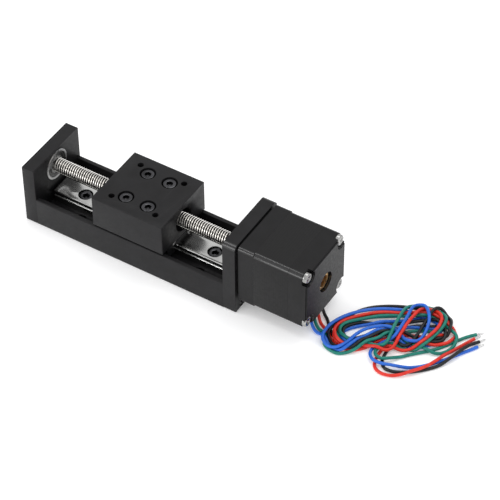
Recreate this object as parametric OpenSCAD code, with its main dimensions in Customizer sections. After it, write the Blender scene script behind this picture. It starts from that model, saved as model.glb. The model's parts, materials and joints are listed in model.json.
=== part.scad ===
// Miniature ball screw linear module: a channel with a recirculating-ball guide,
// a ball screw on the rotor of a 28 mm stepper motor, and a drilled slide table.
// Origin: underside of the channel, in the middle of its length and width.
// +X points to the motor, +Z up. Units are millimetres.

/* [Channel] */
// Width of the channel, the plates and the slide table
width = 30; // [29:0.5:33]
// Length of the channel between the two plates
channel_len = 86; // [80:1:106]
// Height of the channel walls
base_h = 13; // [12.6:0.1:13.2]
// Thickness of the channel walls
wall_t = 1.8; // [1.4:0.1:2.2]
// Thickness of the channel floor
floor_t = 4.75; // [4.4:0.05:4.9]
// Depth of the groove that seats the rail
groove_depth = 1; // [0.6:0.1:1.2]
// Distance along the channel between the module's own fixing holes
fixing_spacing_x = 55; // [50:1:58]
// Distance across the channel between the module's own fixing holes
fixing_spacing_y = 17; // [16:0.5:18]

/* [Plates] */
// Thickness of the plate at the free end
end_plate_t = 5.5; // [5.2:0.1:8]
// Height of the plate at the free end
end_plate_h = 28; // [27.5:0.1:30]
// Thickness of the plate that carries the motor
motor_plate_t = 5.5; // [5.2:0.1:8]
// Height of the plate that carries the motor
motor_plate_h = 34.7; // [34.5:0.1:37]
// Radius of the motor plate's upper corners
plate_corner_r = 2.2; // [1:0.1:3]

/* [Guide] */
// Length of the rail
rail_len = 84; // [80:1:85]
// Width of the rail
rail_w = 9; // [8.8:0.1:9.2]
// Height of the rail
rail_h = 6.5; // [6.4:0.1:6.6]
// Distance between the rail's screws
rail_pitch = 20; // [18:1:22]
// Width of the guide block
block_w = 20; // [19:0.5:21]
// Length of the block's steel body
block_len = 18.9; // [18.5:0.1:20]
// Length of each moulded end cap
cap_len = 4.2; // [4:0.1:5]
// Height of the guide, from the rail's seat to the top of the block
guide_h = 10; // [9.9:0.1:10.1]
// Diameter of the guide's balls
guide_ball_d = 1.5; // [1.4:0.05:1.5]

/* [Slide table] */
// Length of the table along the travel
table_len = 32; // [30:0.5:36]
// Height of the table above the guide block
table_h = 14.25; // [14:0.05:15]
// Side of the square of threaded fixing holes
table_holes = 20; // [19:0.5:22]
// Length of the ball nut, flange included
nut_len = 24; // [22:0.5:28]
// Outer diameter of the ball nut
nut_d = 10; // [9.6:0.1:10]

/* [Screw] */
// Height of the screw's axis above the underside
axis_z = 20.3; // [20:0.1:20.6]
// Diameter of the screw at the root of its thread
root_d = 5.1; // [5:0.1:5.2]
// Diameter over the crests of the thread
crest_d = 5.8; // [5.7:0.1:6]

/* [Motor] */
// Side of the square motor
motor_w = 28; // [27.8:0.1:28.2]
// Length of the front cap
front_cap_len = 7.4; // [7.2:0.1:9]
// Length of the laminated stack
stack_len = 15; // [14:0.5:30]
// Length of the rear cap
rear_cap_len = 8.1; // [8:0.1:10]
// Side of the square of motor screws
motor_holes = 23; // [22.8:0.1:23.2]

/* [Leads] */
// Outer diameter of each lead
lead_d = 1.3; // [1.1:0.1:1.4]
// Length of the folded hank
hank_len = 49; // [46:1:50]
// Width of the hank
hank_w = 20; // [18:1:20]
// Height of the hank
hank_h = 6.4; // [5:0.1:7]

/* [Hidden] */

// Faces of the two plates along X
x_in = channel_len / 2;
x_free = -(x_in + end_plate_t);
x_motor = x_in + motor_plate_t;
x_stack = x_motor + front_cap_len;
x_rear_cap = x_stack + stack_len;
x_rear = x_rear_cap + rear_cap_len;

// Guide heights
rail_z = floor_t - groove_depth;
rail_top = rail_z + rail_h;
block_top = rail_z + guide_h;
block_bottom = rail_z + 2;
ball_z = rail_top - 1.8;
ball_y = rail_w / 2 + 0.25;
return_y = ball_y + 2.15;
guide_ball_r = guide_ball_d / 2;
track_r = guide_ball_r + 0.03;
saddle_gap = 0.35;
cap_end = block_len / 2 + cap_len;
seal_t = 0.8;
seal_end = cap_end + seal_t;

// Fit of screws: each shank clears its thread by this
fit = 0.01;
tiny = 0.01;
rail_screw_x = [-1.5 * rail_pitch, -0.5 * rail_pitch, 0.5 * rail_pitch, 1.5 * rail_pitch];
plate_screw_y = [-10, 10];
plate_screw_z = 2.4;
table_screw_x = [-5, 5];
table_screw_y = [-7.5, 7.5];

// Bearings: [outer radius, bore radius, width, ball circle radius, ball radius, balls]
free_bearing = [6.5, 2, 5, 4.3, 1.1, 7];
rotor_bearing = [7, 3.5, 5, 5.25, 0.9, 10];
free_bearing_x = -x_in - 4.9;
front_bearing_x = x_motor + 2;
rear_bearing_x = x_rear - 7.5;

// Ball nut
nut_x0 = -table_len / 2 + 0.1;
nut_x1 = nut_x0 + nut_len;
nut_flange_t = 3;
nut_screw_y = [-6.07, 6.07];
nut_screw_z = [-2.83, 2.83];
nut_ball_r = 0.4;
nut_ball_circle = root_d / 2 + nut_ball_r + 0.03;
nut_rows = [-4.5, -0.5, 3.5];
balls_per_row = 20;

// Motor
rotor_r = 7.95;
stator_bore_r = 8.25;
stack_chamfer = 2.3;
pocket_r = 3.3;
pocket_depth = 2.2;
poles = 8;
bush_x = x_rear - 4;
bush_z = axis_z - motor_w / 2;
lead_pitch = 2.2;

// Leads lie on the surface that the module stands on. Their points are given from the
// middle of the motor's rear edge on that surface.
lead_r = lead_d / 2;
lead_sides = 8;
hank_angle = 33.5;
hank_centre = [23, 7];

// Each lead's way from the motor into the hank
blue_start = [[-4, -3.3, 7.4], [-4, -3.4, 5.2], [-2.2, -6.1, 2.1], [0.8, -7.8, 0.75], [4.5, -8, 0.65]];
green_start = [[-4, -1.1, 7.4], [-4, -1.2, 5.2], [-2.1, -4, 2.1], [0.8, -6, 0.75], [3.2, -6.6, 0.65]];
red_start = [[-4, 1.1, 7.4], [-4, 1, 5.2], [-2.2, -1.1, 2.1], [0, -3.1, 0.75], [2, -4.2, 0.65]];
black_start = [[-4, 3.3, 7.4], [-4, 3.2, 5.2], [-2.3, 2.3, 2.1], [-0.4, 1, 0.75], [1.4, 0, 0.65]];

// Each lead's way from the hank to its bare end
blue_tail = [
    [23.1, -4.2, 1.3], [23.7, -7.3, 1.7], [26.2, -9.7, 1.95], [29.6, -9.8, 1.95], [33, -8.7, 1.95],
    [36.2, -7.1, 1.3], [39.3, -5.2, 0.65], [42.2, -2.9, 0.65], [44.7, -0.1, 0.65], [46.8, 2.6, 0.65],
    [48.8, 5.4, 0.65], [50.7, 8.5, 0.65], [52.5, 11.6, 0.65], [54.3, 14.4, 0.65], [55.9, 17.2, 0.65]
];
green_tail = [
    [25.1, -2.9, 1.3], [24.8, -5, 1.8], [26, -7.1, 1.95], [28.4, -7.7, 1.95], [30.6, -6.3, 1.95],
    [32.1, -4.4, 1.3], [34.2, -2, 0.65], [36.6, 0.8, 0.65], [39.1, 3.4, 0.65], [41.7, 6.1, 0.65],
    [44, 9.1, 0.65], [46, 12.4, 0.65], [48, 15.9, 0.65], [50.1, 19.4, 0.65], [52.6, 22.5, 0.65]
];
red_tail = [
    [26.3, -2.2, 0.65], [26.3, -5.6, 0.65], [26.8, -8.9, 0.65], [28.4, -11.8, 0.65], [31.4, -13, 0.65],
    [34.8, -12.4, 0.65], [38, -10.6, 1.1], [40.8, -7.9, 1.95], [43.2, -4.7, 1.95], [45.2, -1.3, 1.95],
    [46.6, 2.4, 1.95], [47.8, 6.1, 1.9], [49, 9.9, 1.1], [50.6, 14.6, 0.65], [53, 20.2, 0.65]
];
black_tail = [
    [28.2, -1, 0.65], [28.3, -4.4, 0.65], [29.2, -7.8, 0.65], [31.5, -10.2, 0.65], [34.8, -10.1, 0.65],
    [38, -8.6, 0.65], [41, -6.6, 0.65], [43.7, -4.2, 0.65], [46.1, -1.5, 0.65], [48.3, 1.6, 0.8],
    [50, 5.2, 1.7], [51.2, 8.8, 1.95], [52.1, 12.2, 1.95], [53.3, 15.8, 1.5], [55.2, 19.8, 0.65]
];

// Colours
black_anodised = [0.21, 0.21, 0.22];
black_plastic = [0.1, 0.1, 0.11];
bright_steel = [0.78, 0.78, 0.77];
ball_steel = [0.86, 0.86, 0.87];
black_screw = [0.16, 0.16, 0.17];
brass = [0.72, 0.5, 0.27];
lead_blue = [0.16, 0.36, 0.86];
lead_green = [0.1, 0.52, 0.44];
lead_red = [0.86, 0.2, 0.15];
lead_black = [0.08, 0.09, 0.1];

// ---- helpers ----

// A section drawn in Y and Z, run along X from x0 to x1
module run_x(x0, x1) {
    translate([x0, 0, 0])
        rotate([90, 0, 90])
            linear_extrude(x1 - x0)
                children();
}

// A round bar along X
module bar_x(x0, x1, r, y = 0, z = 0) {
    translate([x0, y, z])
        rotate([0, 90, 0])
            cylinder(h = x1 - x0, r = r, $fn = 64);
}

// A round ring about the screw's axis
module ring_x(x0, x1, ro, ri) {
    difference() {
        bar_x(x0, x1, ro, 0, axis_z);
        bar_x(x0 - 1, x1 + 1, ri, 0, axis_z);
    }
}

// A round groove about the screw's axis
module track_x(x, circle_r, r) {
    translate([x, 0, axis_z])
        rotate([0, 90, 0])
            rotate_extrude($fn = 64)
                translate([circle_r, 0])
                    circle(r = r, $fn = 32);
}

// A rectangle with its corners cut at 45 degrees
module cut_rect(w, h, c) {
    x = w / 2;
    y = h / 2;
    polygon([
        [x - c, -y], [x, -y + c], [x, y - c], [x - c, y],
        [c - x, y], [-x, y - c], [-x, c - y], [c - x, -y]
    ]);
}

// A rectangle with round corners
module round_rect(w, h, r) {
    square([w - 2 * r, h], center = true);
    square([w, h - 2 * r], center = true);
    for (x = [r - w / 2, w / 2 - r], y = [r - h / 2, h / 2 - r])
        translate([x, y])
            circle(r = r, $fn = 48);
}

// Socket head screw along -Z, with the underside of its head at z = 0
module socket_screw(d, len, head_d, head_h, key) {
    difference() {
        union() {
            cylinder(h = head_h, r = head_d / 2, $fn = 48);
            translate([0, 0, -len])
                cylinder(h = len + tiny, r = d / 2 - fit, $fn = 48);
        }
        translate([0, 0, head_h / 2])
            cylinder(h = head_h, r = key / sqrt(3), $fn = 6);
    }
}

// Screw with its head towards -X or +X
module socket_screw_x(x, y, z, to, d, len, head_d, head_h, key) {
    translate([x, y, z])
        rotate([0, to * 90, 0])
            socket_screw(d, len, head_d, head_h, key);
}

// ---- channel and plates ----

module channel_section() {
    inner_w = width - 2 * wall_t;
    difference() {
        translate([0, base_h / 2])
            cut_rect(width, base_h, 0.3);
        translate([0, floor_t + base_h / 2])
            square([inner_w, base_h], center = true);
        translate([0, rail_z + base_h / 2])
            square([rail_w + 0.04, base_h], center = true);
    }
}

module base_channel() {
    color(black_anodised)
        difference() {
            run_x(-x_in, x_in)
                channel_section();
            for (x = rail_screw_x)
                translate([x, 0, -1])
                    cylinder(h = floor_t + 2, r = 1.5, $fn = 48);
            for (x = [-1, 1], y = [-1, 1])
                translate([x * fixing_spacing_x / 2, y * fixing_spacing_y / 2, 0]) {
                    translate([0, 0, -1])
                        cylinder(h = floor_t + 2, r = 1.7, $fn = 48);
                    translate([0, 0, floor_t - 3])
                        cylinder(h = 4, r = 3, $fn = 48);
                }
            for (y = plate_screw_y) {
                bar_x(-x_in - 1, -x_in + 8, 1, y, plate_screw_z);
                bar_x(x_in - 8, x_in + 1, 1, y, plate_screw_z);
            }
        }
}

module end_plate() {
    lip_r = 5;
    color(black_anodised)
        difference() {
            run_x(x_free, -x_in)
                translate([0, end_plate_h / 2])
                    cut_rect(width, end_plate_h, 0.25);
            bar_x(x_free - 1, -x_in + 1, lip_r, 0, axis_z);
            bar_x(free_bearing_x, -x_in + 1, free_bearing[0] + fit, 0, axis_z);
            for (y = plate_screw_y) {
                bar_x(x_free - 1, -x_in + 1, 1.1, y, plate_screw_z);
                bar_x(x_free - 1, x_free + 2.2, 2.05, y, plate_screw_z);
            }
        }
}

module motor_plate() {
    pilot_depth = 2.1;
    head_depth = 2.7;
    color(black_anodised)
        difference() {
            run_x(x_in, x_motor) {
                translate([0, motor_plate_h / 2])
                    round_rect(width, motor_plate_h, plate_corner_r);
                translate([0, 4])
                    cut_rect(width, 8, 0.5);
            }
            bar_x(x_in - 1, x_motor + 1, 4, 0, axis_z);
            bar_x(x_motor - pilot_depth, x_motor + 1, 11, 0, axis_z);
            for (y = [-1, 1] * motor_holes / 2, z = [-1, 1] * motor_holes / 2) {
                bar_x(x_in - 1, x_motor + 1, 1.35, y, axis_z + z);
                bar_x(x_in - 1, x_in + head_depth, 2.4, y, axis_z + z);
            }
            for (y = plate_screw_y) {
                bar_x(x_in - 1, x_motor + 1, 1.1, y, plate_screw_z);
                bar_x(x_motor - 2.2, x_motor + 1, 2.05, y, plate_screw_z);
            }
        }
}

module end_plate_screws() {
    color(black_screw)
        for (y = plate_screw_y)
            socket_screw_x(x_free + 2.2, y, plate_screw_z, -1, 2, 10, 3.8, 2, 1.5);
}

module motor_plate_screws() {
    color(black_screw)
        for (y = plate_screw_y)
            socket_screw_x(x_motor - 2.2, y, plate_screw_z, 1, 2, 10, 3.8, 2, 1.5);
}

// ---- recirculating-ball guide ----

// The rail's section, grown by g all round: flat top, a ball track in each flank
module rail_section(g = 0) {
    w = rail_w / 2 + g;
    difference() {
        polygon([
            [-w + 0.3, rail_z - g], [w - 0.3, rail_z - g], [w, rail_z + 0.3 - g],
            [w, rail_top - 0.3 + g], [w - 0.3, rail_top + g],
            [-w + 0.3, rail_top + g], [-w, rail_top - 0.3 + g], [-w, rail_z + 0.3 - g]
        ]);
        for (y = [-ball_y, ball_y])
            translate([y, ball_z])
                circle(r = track_r - g, $fn = 48);
    }
}

module guide_rail() {
    color(bright_steel)
        difference() {
            run_x(-rail_len / 2, rail_len / 2)
                rail_section();
            for (x = rail_screw_x) {
                translate([x, 0, rail_z - 1])
                    cylinder(h = rail_h + 2, r = 1.75, $fn = 48);
                translate([x, 0, rail_top - 3.5])
                    cylinder(h = 4, r = 3, $fn = 48);
            }
        }
}

module rail_screws() {
    color(black_screw)
        for (x = rail_screw_x)
            translate([x, 0, rail_top - 3.5])
                socket_screw(3, 6, 5.5, 3, 2.5);
}

// Arched section of the block, its caps and its seals, sitting astride the rail
module saddle_section(w, z0, z1, gap) {
    difference() {
        translate([0, (z0 + z1) / 2])
            cut_rect(w, z1 - z0, 0.5);
        translate([0, z0 - 1 + (rail_top + 0.55 - z0 + 1) / 2])
            square([rail_w + 2 * gap, rail_top + 0.55 - z0 + 1], center = true);
    }
}

module guide_block() {
    color(bright_steel)
        difference() {
            run_x(-block_len / 2, block_len / 2)
                saddle_section(block_w, block_bottom, block_top, saddle_gap);
            for (y = [-1, 1]) {
                bar_x(-block_len, block_len, track_r, y * ball_y, ball_z);
                bar_x(-block_len, block_len, guide_ball_r + 0.1, y * return_y, ball_z);
            }
            for (x = table_screw_x, y = table_screw_y)
                translate([x, y, block_top - 3.3])
                    cylinder(h = 5, r = 1.5, $fn = 48);
            for (x = [-1, 1], y = [-5.6, 5.6])
                bar_x(x * block_len / 2 - 2.4, x * block_len / 2 + 2.4, 0.8, y, block_top - 1.9);
        }
}

// One end cap: its turn-round passages join the loaded row to the return row
module block_cap(side) {
    x0 = side * block_len / 2;
    x1 = side * cap_end;
    turn_r = (return_y - ball_y) / 2;
    color(black_plastic)
        difference() {
            run_x(min(x0, x1), max(x0, x1))
                saddle_section(block_w - 0.4, block_bottom + 0.2, block_top - 0.3, saddle_gap + 0.05);
            for (y = [-1, 1]) {
                translate([x0, y * (ball_y + return_y) / 2, ball_z])
                    rotate_extrude($fn = 64)
                        translate([turn_r, 0])
                            circle(r = guide_ball_r + 0.1, $fn = 32);
                bar_x(min(x0, x1) - 1, max(x0, x1) + 1, 0.85, y * 5.6, block_top - 1.9);
            }
        }
}

module block_cap_free() {
    block_cap(-1);
}

module block_cap_motor() {
    block_cap(1);
}

module block_seals() {
    color(black_plastic)
        for (x0 = [-seal_end, cap_end])
            difference() {
                run_x(x0, x0 + seal_t)
                    difference() {
                        translate([0, (block_bottom + block_top) / 2])
                            cut_rect(block_w - 0.8, guide_h - 2.8, 0.6);
                        rail_section(0.12);
                    }
                for (y = [-5.6, 5.6])
                    bar_x(x0 - 1, x0 + 2, 0.85, y, block_top - 1.9);
            }
}

module block_cap_screws() {
    color(bright_steel)
        for (side = [-1, 1], y = [-5.6, 5.6])
            socket_screw_x(
                side * seal_end, y, block_top - 1.9, side,
                1.6, seal_end - block_len / 2 + 2, 2.4, 0.6, 1
            );
}

module block_balls() {
    pitch = guide_ball_d + 0.05;
    count = floor(block_len / pitch);
    color(ball_steel)
        for (i = [0 : count - 1], y = [-return_y, -ball_y, ball_y, return_y])
            translate([(i - (count - 1) / 2) * pitch, y, ball_z])
                sphere(r = guide_ball_r, $fn = 32);
}

// ---- slide table and ball nut ----

module slide_table() {
    z0 = block_top;
    z1 = block_top + table_h;
    color(black_anodised)
        difference() {
            intersection() {
                run_x(-table_len / 2, table_len / 2)
                    translate([0, (z0 + z1) / 2])
                        cut_rect(width, table_h, 0.25);
                translate([0, 0, z0 - 1])
                    linear_extrude(table_h + 2)
                        cut_rect(table_len, width, 0.25);
            }
            bar_x(-table_len, table_len, nut_d / 2 + 0.02, 0, axis_z);
            run_x(-table_len, nut_x0 + nut_flange_t)
                translate([0, axis_z])
                    intersection() {
                        circle(r = 8.7, $fn = 64);
                        square([20, 12], center = true);
                    }
            for (y = nut_screw_y, z = nut_screw_z)
                bar_x(nut_x0, nut_x0 + 8.4, 1, y, axis_z + z);
            for (x = table_screw_x, y = table_screw_y)
                translate([x, y, z0 - 1]) {
                    cylinder(h = table_h + 2, r = 1.7, $fn = 48);
                    translate([0, 0, table_h + 1 - 3.3])
                        cylinder(h = 5, r = 3.2, $fn = 48);
                }
            for (x = [-1, 1] * table_holes / 2, y = [-1, 1] * table_holes / 2)
                translate([x, y, z1 - 5])
                    cylinder(h = 6, r = 1.25, $fn = 48);
        }
}

module table_screws() {
    color(black_screw)
        for (x = table_screw_x, y = table_screw_y)
            translate([x, y, block_top + table_h - 3.3])
                socket_screw(3, 14, 5.5, 3, 2.5);
}

module ball_nut() {
    color(bright_steel)
        difference() {
            union() {
                bar_x(nut_x0, nut_x1, nut_d / 2, 0, axis_z);
                run_x(nut_x0, nut_x0 + nut_flange_t)
                    translate([0, axis_z])
                        intersection() {
                            circle(r = 8.5, $fn = 64);
                            square([20, 11.8], center = true);
                        }
            }
            bar_x(nut_x0 - 1, nut_x1 + 1, crest_d / 2 + 0.1, 0, axis_z);
            for (x = nut_rows)
                track_x(x, nut_ball_circle, nut_ball_r + 0.03);
            for (x = [nut_x0 - 1, nut_x1 - 1.5])
                bar_x(x, x + 2.5, 4, 0, axis_z);
            for (y = nut_screw_y, z = nut_screw_z)
                bar_x(nut_x0 - 1, nut_x0 + 4, 1.1, y, axis_z + z);
        }
}

module nut_screws() {
    color(black_screw)
        for (y = nut_screw_y, z = nut_screw_z)
            socket_screw_x(nut_x0, y, axis_z + z, -1, 2, 7, 3.6, 1.2, 1.3);
}

module nut_balls() {
    color(ball_steel)
        for (x = nut_rows, i = [0 : balls_per_row - 1])
            translate([x, 0, axis_z])
                rotate([i * 360 / balls_per_row, 0, 0])
                    translate([0, nut_ball_circle, 0])
                        sphere(r = nut_ball_r, $fn = 24);
}

module nut_wipers() {
    color(brass)
        for (x = [nut_x0, nut_x1 - 1.5])
            ring_x(x, x + 1.5, 4 - fit, crest_d / 2 + 0.06);
}

// ---- screw and bearings ----

module ball_screw() {
    shoulder_x = free_bearing_x + free_bearing[2];
    color(bright_steel) {
        bar_x(free_bearing_x - 0.3, shoulder_x + 1, free_bearing[1] - fit, 0, axis_z);
        bar_x(shoulder_x, x_motor - 1, root_d / 2, 0, axis_z);
        bar_x(x_motor - 1.1, x_rear - 5.5, root_d / 2 - 0.06, 0, axis_z);
    }
}

// Outer ring of a ball bearing whose near face is at x
module bearing_outer(b, x) {
    difference() {
        ring_x(x, x + b[2], b[0], b[3] + b[4] * 0.6);
        track_x(x + b[2] / 2, b[3], b[4] + 0.03);
        for (x1 = [x - 0.5, x + b[2] - 0.5])
            bar_x(x1, x1 + 1, b[3] + b[4] + 0.25, 0, axis_z);
    }
}

module bearing_inner(b, x) {
    difference() {
        ring_x(x, x + b[2], b[3] - b[4] * 0.6, b[1]);
        track_x(x + b[2] / 2, b[3], b[4] + 0.03);
    }
}

module bearing_balls(b, x) {
    for (i = [0 : b[5] - 1])
        translate([x + b[2] / 2, 0, axis_z])
            rotate([i * 360 / b[5], 0, 0])
                translate([0, -b[3], 0])
                    sphere(r = b[4], $fn = 32);
}

module bearing_cage(b, x) {
    half_w = b[4] + 0.3;
    difference() {
        ring_x(x + b[2] / 2 - half_w, x + b[2] / 2 + half_w, b[3] + 0.2, b[3] - 0.2);
        for (i = [0 : b[5] - 1])
            translate([x + b[2] / 2, 0, axis_z])
                rotate([i * 360 / b[5] + 90, 0, 0])
                    translate([0, 0, b[3] - 1])
                        cylinder(h = 2, r = b[4] + 0.02, $fn = 32);
    }
}

// The two thin shields, seated in the outer ring and clear of the inner one
module bearing_shields(b, x) {
    for (x1 = [x + 0.15, x + b[2] - 0.5])
        ring_x(x1, x1 + 0.35, b[3] + b[4] + 0.24, b[3] - b[4] * 0.6 + 0.12);
}

module free_bearing_outer() {
    color(bright_steel)
        bearing_outer(free_bearing, free_bearing_x);
}

module free_bearing_inner() {
    color(bright_steel)
        bearing_inner(free_bearing, free_bearing_x);
}

module free_bearing_balls() {
    color(ball_steel)
        bearing_balls(free_bearing, free_bearing_x);
}

module free_bearing_cage() {
    color(brass)
        bearing_cage(free_bearing, free_bearing_x);
}

module free_bearing_shields() {
    color(bright_steel)
        bearing_shields(free_bearing, free_bearing_x);
}

module front_bearing_outer() {
    color(bright_steel)
        bearing_outer(rotor_bearing, front_bearing_x);
}

module rear_bearing_outer() {
    color(bright_steel)
        bearing_outer(rotor_bearing, rear_bearing_x);
}

module front_bearing_inner() {
    color(bright_steel)
        bearing_inner(rotor_bearing, front_bearing_x);
}

module rear_bearing_inner() {
    color(bright_steel)
        bearing_inner(rotor_bearing, rear_bearing_x);
}

module motor_bearing_balls() {
    color(ball_steel)
        for (x = [front_bearing_x, rear_bearing_x])
            bearing_balls(rotor_bearing, x);
}

module motor_bearing_cages() {
    color(brass)
        for (x = [front_bearing_x, rear_bearing_x])
            bearing_cage(rotor_bearing, x);
}

module motor_bearing_shields() {
    color(bright_steel)
        for (x = [front_bearing_x, rear_bearing_x])
            bearing_shields(rotor_bearing, x);
}

// Washer with three waves, between the rear bearing and the rear cap
module wave_spring() {
    x0 = rear_bearing_x + rotor_bearing[2];
    gap = x_rear - 1.6 - x0;
    t = 0.25;
    steps = 48;
    lift = (gap - t - 0.04) / 2;
    function wave(i) = x0 + 0.02 + lift * (1 + sin(i * 3 * 360 / steps));
    function at(i, r, dx) = [wave(i) + dx, r * cos(i * 360 / steps), axis_z + r * sin(i * 360 / steps)];
    points = [for (i = [0 : steps - 1], c = [[5.9, 0], [6.8, 0], [6.8, t], [5.9, t]]) at(i, c[0], c[1])];
    faces = [
        for (i = [0 : steps - 1], k = [0 : 3])
            let (j = (i + 1) % steps, n = (k + 1) % 4)
                [4 * i + k, 4 * i + n, 4 * j + n, 4 * j + k]
    ];
    color(bright_steel)
        polyhedron(points, faces, convexity = 6);
}

// ---- motor ----

module motor_outline(inset = 0) {
    translate([0, axis_z])
        cut_rect(motor_w - 2 * inset, motor_w - 2 * inset, stack_chamfer);
}

module motor_holes_x(x0, x1, r) {
    for (y = [-1, 1] * motor_holes / 2, z = [-1, 1] * motor_holes / 2)
        bar_x(x0, x1, r, y, axis_z + z);
}

module motor_front_cap() {
    relief = 0.8;
    wall_x = x_motor + 3.4;
    color(black_anodised)
        difference() {
            union() {
                run_x(x_motor, x_motor + relief)
                    translate([0, axis_z])
                        cut_rect(motor_w - 2 * relief, motor_w - 2 * relief, 2);
                run_x(x_motor + relief, x_stack)
                    translate([0, axis_z])
                        round_rect(motor_w, motor_w, 2.2);
                bar_x(x_motor - 2, x_motor + 1, 10.98, 0, axis_z);
            }
            difference() {
                bar_x(wall_x, x_stack + 1, 12.4, 0, axis_z);
                bar_x(wall_x - 1, front_bearing_x + rotor_bearing[2], 8.7, 0, axis_z);
            }
            bar_x(x_motor - 3, x_stack, 4.4, 0, axis_z);
            bar_x(front_bearing_x, x_stack + 1, rotor_bearing[0] + fit, 0, axis_z);
            motor_holes_x(x_motor - 1, x_stack + 1, 1.25);
        }
}

// Stack of laminations: eight poles, with open slots between their shoes
module stator_section() {
    slot_outer_r = 12.3;
    shoe_r = 9;
    pole_w = 2.6;
    difference() {
        cut_rect(motor_w, motor_w, stack_chamfer);
        circle(r = stator_bore_r, $fn = 96);
        for (i = [0 : poles - 1])
            rotate(i * 360 / poles + 180 / poles)
                translate([0, -0.6])
                    square([shoe_r + 0.5, 1.2]);
        difference() {
            circle(r = slot_outer_r, $fn = 96);
            circle(r = shoe_r, $fn = 96);
            for (i = [0 : poles - 1])
                rotate(i * 360 / poles)
                    translate([0, -pole_w / 2])
                        square([motor_w, pole_w]);
        }
        for (y = [-1, 1] * motor_holes / 2, z = [-1, 1] * motor_holes / 2)
            translate([y, z])
                circle(r = 1.35, $fn = 32);
    }
}

module stator_stack() {
    color([0.24, 0.24, 0.25])
        run_x(x_stack, x_rear_cap)
            translate([0, axis_z])
                stator_section();
}

// One coil wound round each pole
module stator_windings() {
    coil_t = 0.8;
    gap = 0.05;
    pole_w = 2.6;
    inner_l = stack_len + 2 * gap;
    inner_w = pole_w + 2 * gap;
    color([0.72, 0.36, 0.16])
        for (i = [0 : poles - 1])
            translate([(x_stack + x_rear_cap) / 2, 0, axis_z])
                rotate([i * 360 / poles, 0, 0])
                    translate([0, 10.6, 0])
                        difference() {
                            cube([inner_l + 2 * coil_t, 2.6, inner_w + 2 * coil_t], center = true);
                            cube([inner_l, 4, inner_w], center = true);
                        }
}

module motor_rear_cap() {
    wall_x = x_rear - 3.4;
    slot_l = 9;
    color(black_anodised)
        difference() {
            union() {
                run_x(x_rear_cap, x_rear - 0.5)
                    motor_outline();
                run_x(x_rear_cap, x_rear)
                    motor_outline(0.5);
            }
            difference() {
                bar_x(x_rear_cap - 1, wall_x, 12.4, 0, axis_z);
                bar_x(rear_bearing_x, wall_x + 1, 8.7, 0, axis_z);
            }
            bar_x(x_rear_cap - 1, x_rear - 1.6, rotor_bearing[0] + fit, 0, axis_z);
            bar_x(x_rear - 2, x_rear + 1, 4.2, 0, axis_z);
            motor_holes_x(x_rear_cap - 1, x_rear + 1, 1.35);
            motor_holes_x(x_rear - pocket_depth, x_rear + 1, pocket_r);
            translate([bush_x - 1.3, -slot_l / 2, bush_z - 1])
                cube([2.6, slot_l, 3.6]);
        }
}

module motor_long_screws() {
    seat_x = x_rear - pocket_depth;
    color(bright_steel)
        for (y = [-1, 1] * motor_holes / 2, z = [-1, 1] * motor_holes / 2)
            translate([seat_x, y, axis_z + z])
                rotate([0, 90, 0])
                    difference() {
                        union() {
                            cylinder(h = 1.1, r = 2.25, $fn = 48);
                            translate([0, 0, 1.1])
                                cylinder(h = 0.6, r1 = 2.25, r2 = 1.5, $fn = 48);
                            translate([0, 0, -25])
                                cylinder(h = 25.1, r = 1.25 - fit, $fn = 48);
                        }
                        for (a = [0, 90])
                            rotate(a)
                                translate([0, 0, 1.5])
                                    cube([2.4, 0.5, 1.2], center = true);
                    }
}

module motor_mount_screws() {
    color(black_screw)
        for (y = [-1, 1] * motor_holes / 2, z = [-1, 1] * motor_holes / 2)
            socket_screw_x(x_in + 2.7, y, axis_z + z, -1, 2.5, 5, 4.5, 2.5, 2);
}

module rotor_sleeve() {
    shoulder = 4.3;
    color(brass)
        difference() {
            union() {
                bar_x(x_motor + 1.2, x_rear - 1.8, rotor_bearing[1] - fit, 0, axis_z);
                bar_x(front_bearing_x + rotor_bearing[2], rear_bearing_x, shoulder, 0, axis_z);
            }
            bar_x(x_motor, x_rear, root_d / 2 - 0.05, 0, axis_z);
        }
}

module rotor_cups() {
    x0 = x_stack + 1.3;
    color([0.45, 0.45, 0.47])
        for (x = [x0, x0 + 7])
            ring_x(x, x + 5.4, rotor_r, 4.3 + fit);
}

module rotor_magnet() {
    x0 = x_stack + 6.7;
    color([0.3, 0.3, 0.32])
        ring_x(x0, x0 + 1.6, 6.8, 4.3 + fit);
}

// ---- leads ----

module lead_bush() {
    pad = 0.5;
    color(black_plastic)
        difference() {
            translate([bush_x - 1.25, -4.45, bush_z - pad])
                cube([2.5, 8.9, pad + 1.6]);
            for (i = [-1.5 : 1 : 1.5])
                translate([bush_x, i * lead_pitch, bush_z - 1])
                    cylinder(h = 4, r = lead_r + fit, $fn = 32);
        }
}

function unit(v) = v / norm(v);

// Direction of a route at point i
function heading(p, i) =
    i == 0 ? unit(p[1] - p[0]) :
    i == len(p) - 1 ? unit(p[i] - p[i - 1]) :
    unit(unit(p[i + 1] - p[i]) + unit(p[i] - p[i - 1]));

// A tube of lead_sides flats swept along the route's points
module lead_tube(route, side_ref) {
    last = len(route) - 1;
    points = [
        for (i = [0 : last])
            let (t = heading(route, i), a = unit(cross(side_ref, t)), b = cross(t, a))
                for (k = [0 : lead_sides - 1])
                    let (turn = (k + 0.5) * 360 / lead_sides)
                        route[i] + lead_r * (cos(turn) * a + sin(turn) * b)
    ];
    sides = [
        for (i = [0 : last - 1], k = [0 : lead_sides - 1], half = [0, 1])
            let (n = (k + 1) % lead_sides, m = i * lead_sides, up = m + lead_sides)
                half == 0 ? [m + k, up + k, up + n] : [m + k, up + n, m + n]
    ];
    start_face = [for (k = [0 : lead_sides - 1]) k];
    end_face = [for (k = [lead_sides - 1 : -1 : 0]) last * lead_sides + k];
    translate([x_rear, 0, 0])
        polyhedron(points, concat(sides, [start_face, end_face]), convexity = 8);
}

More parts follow.
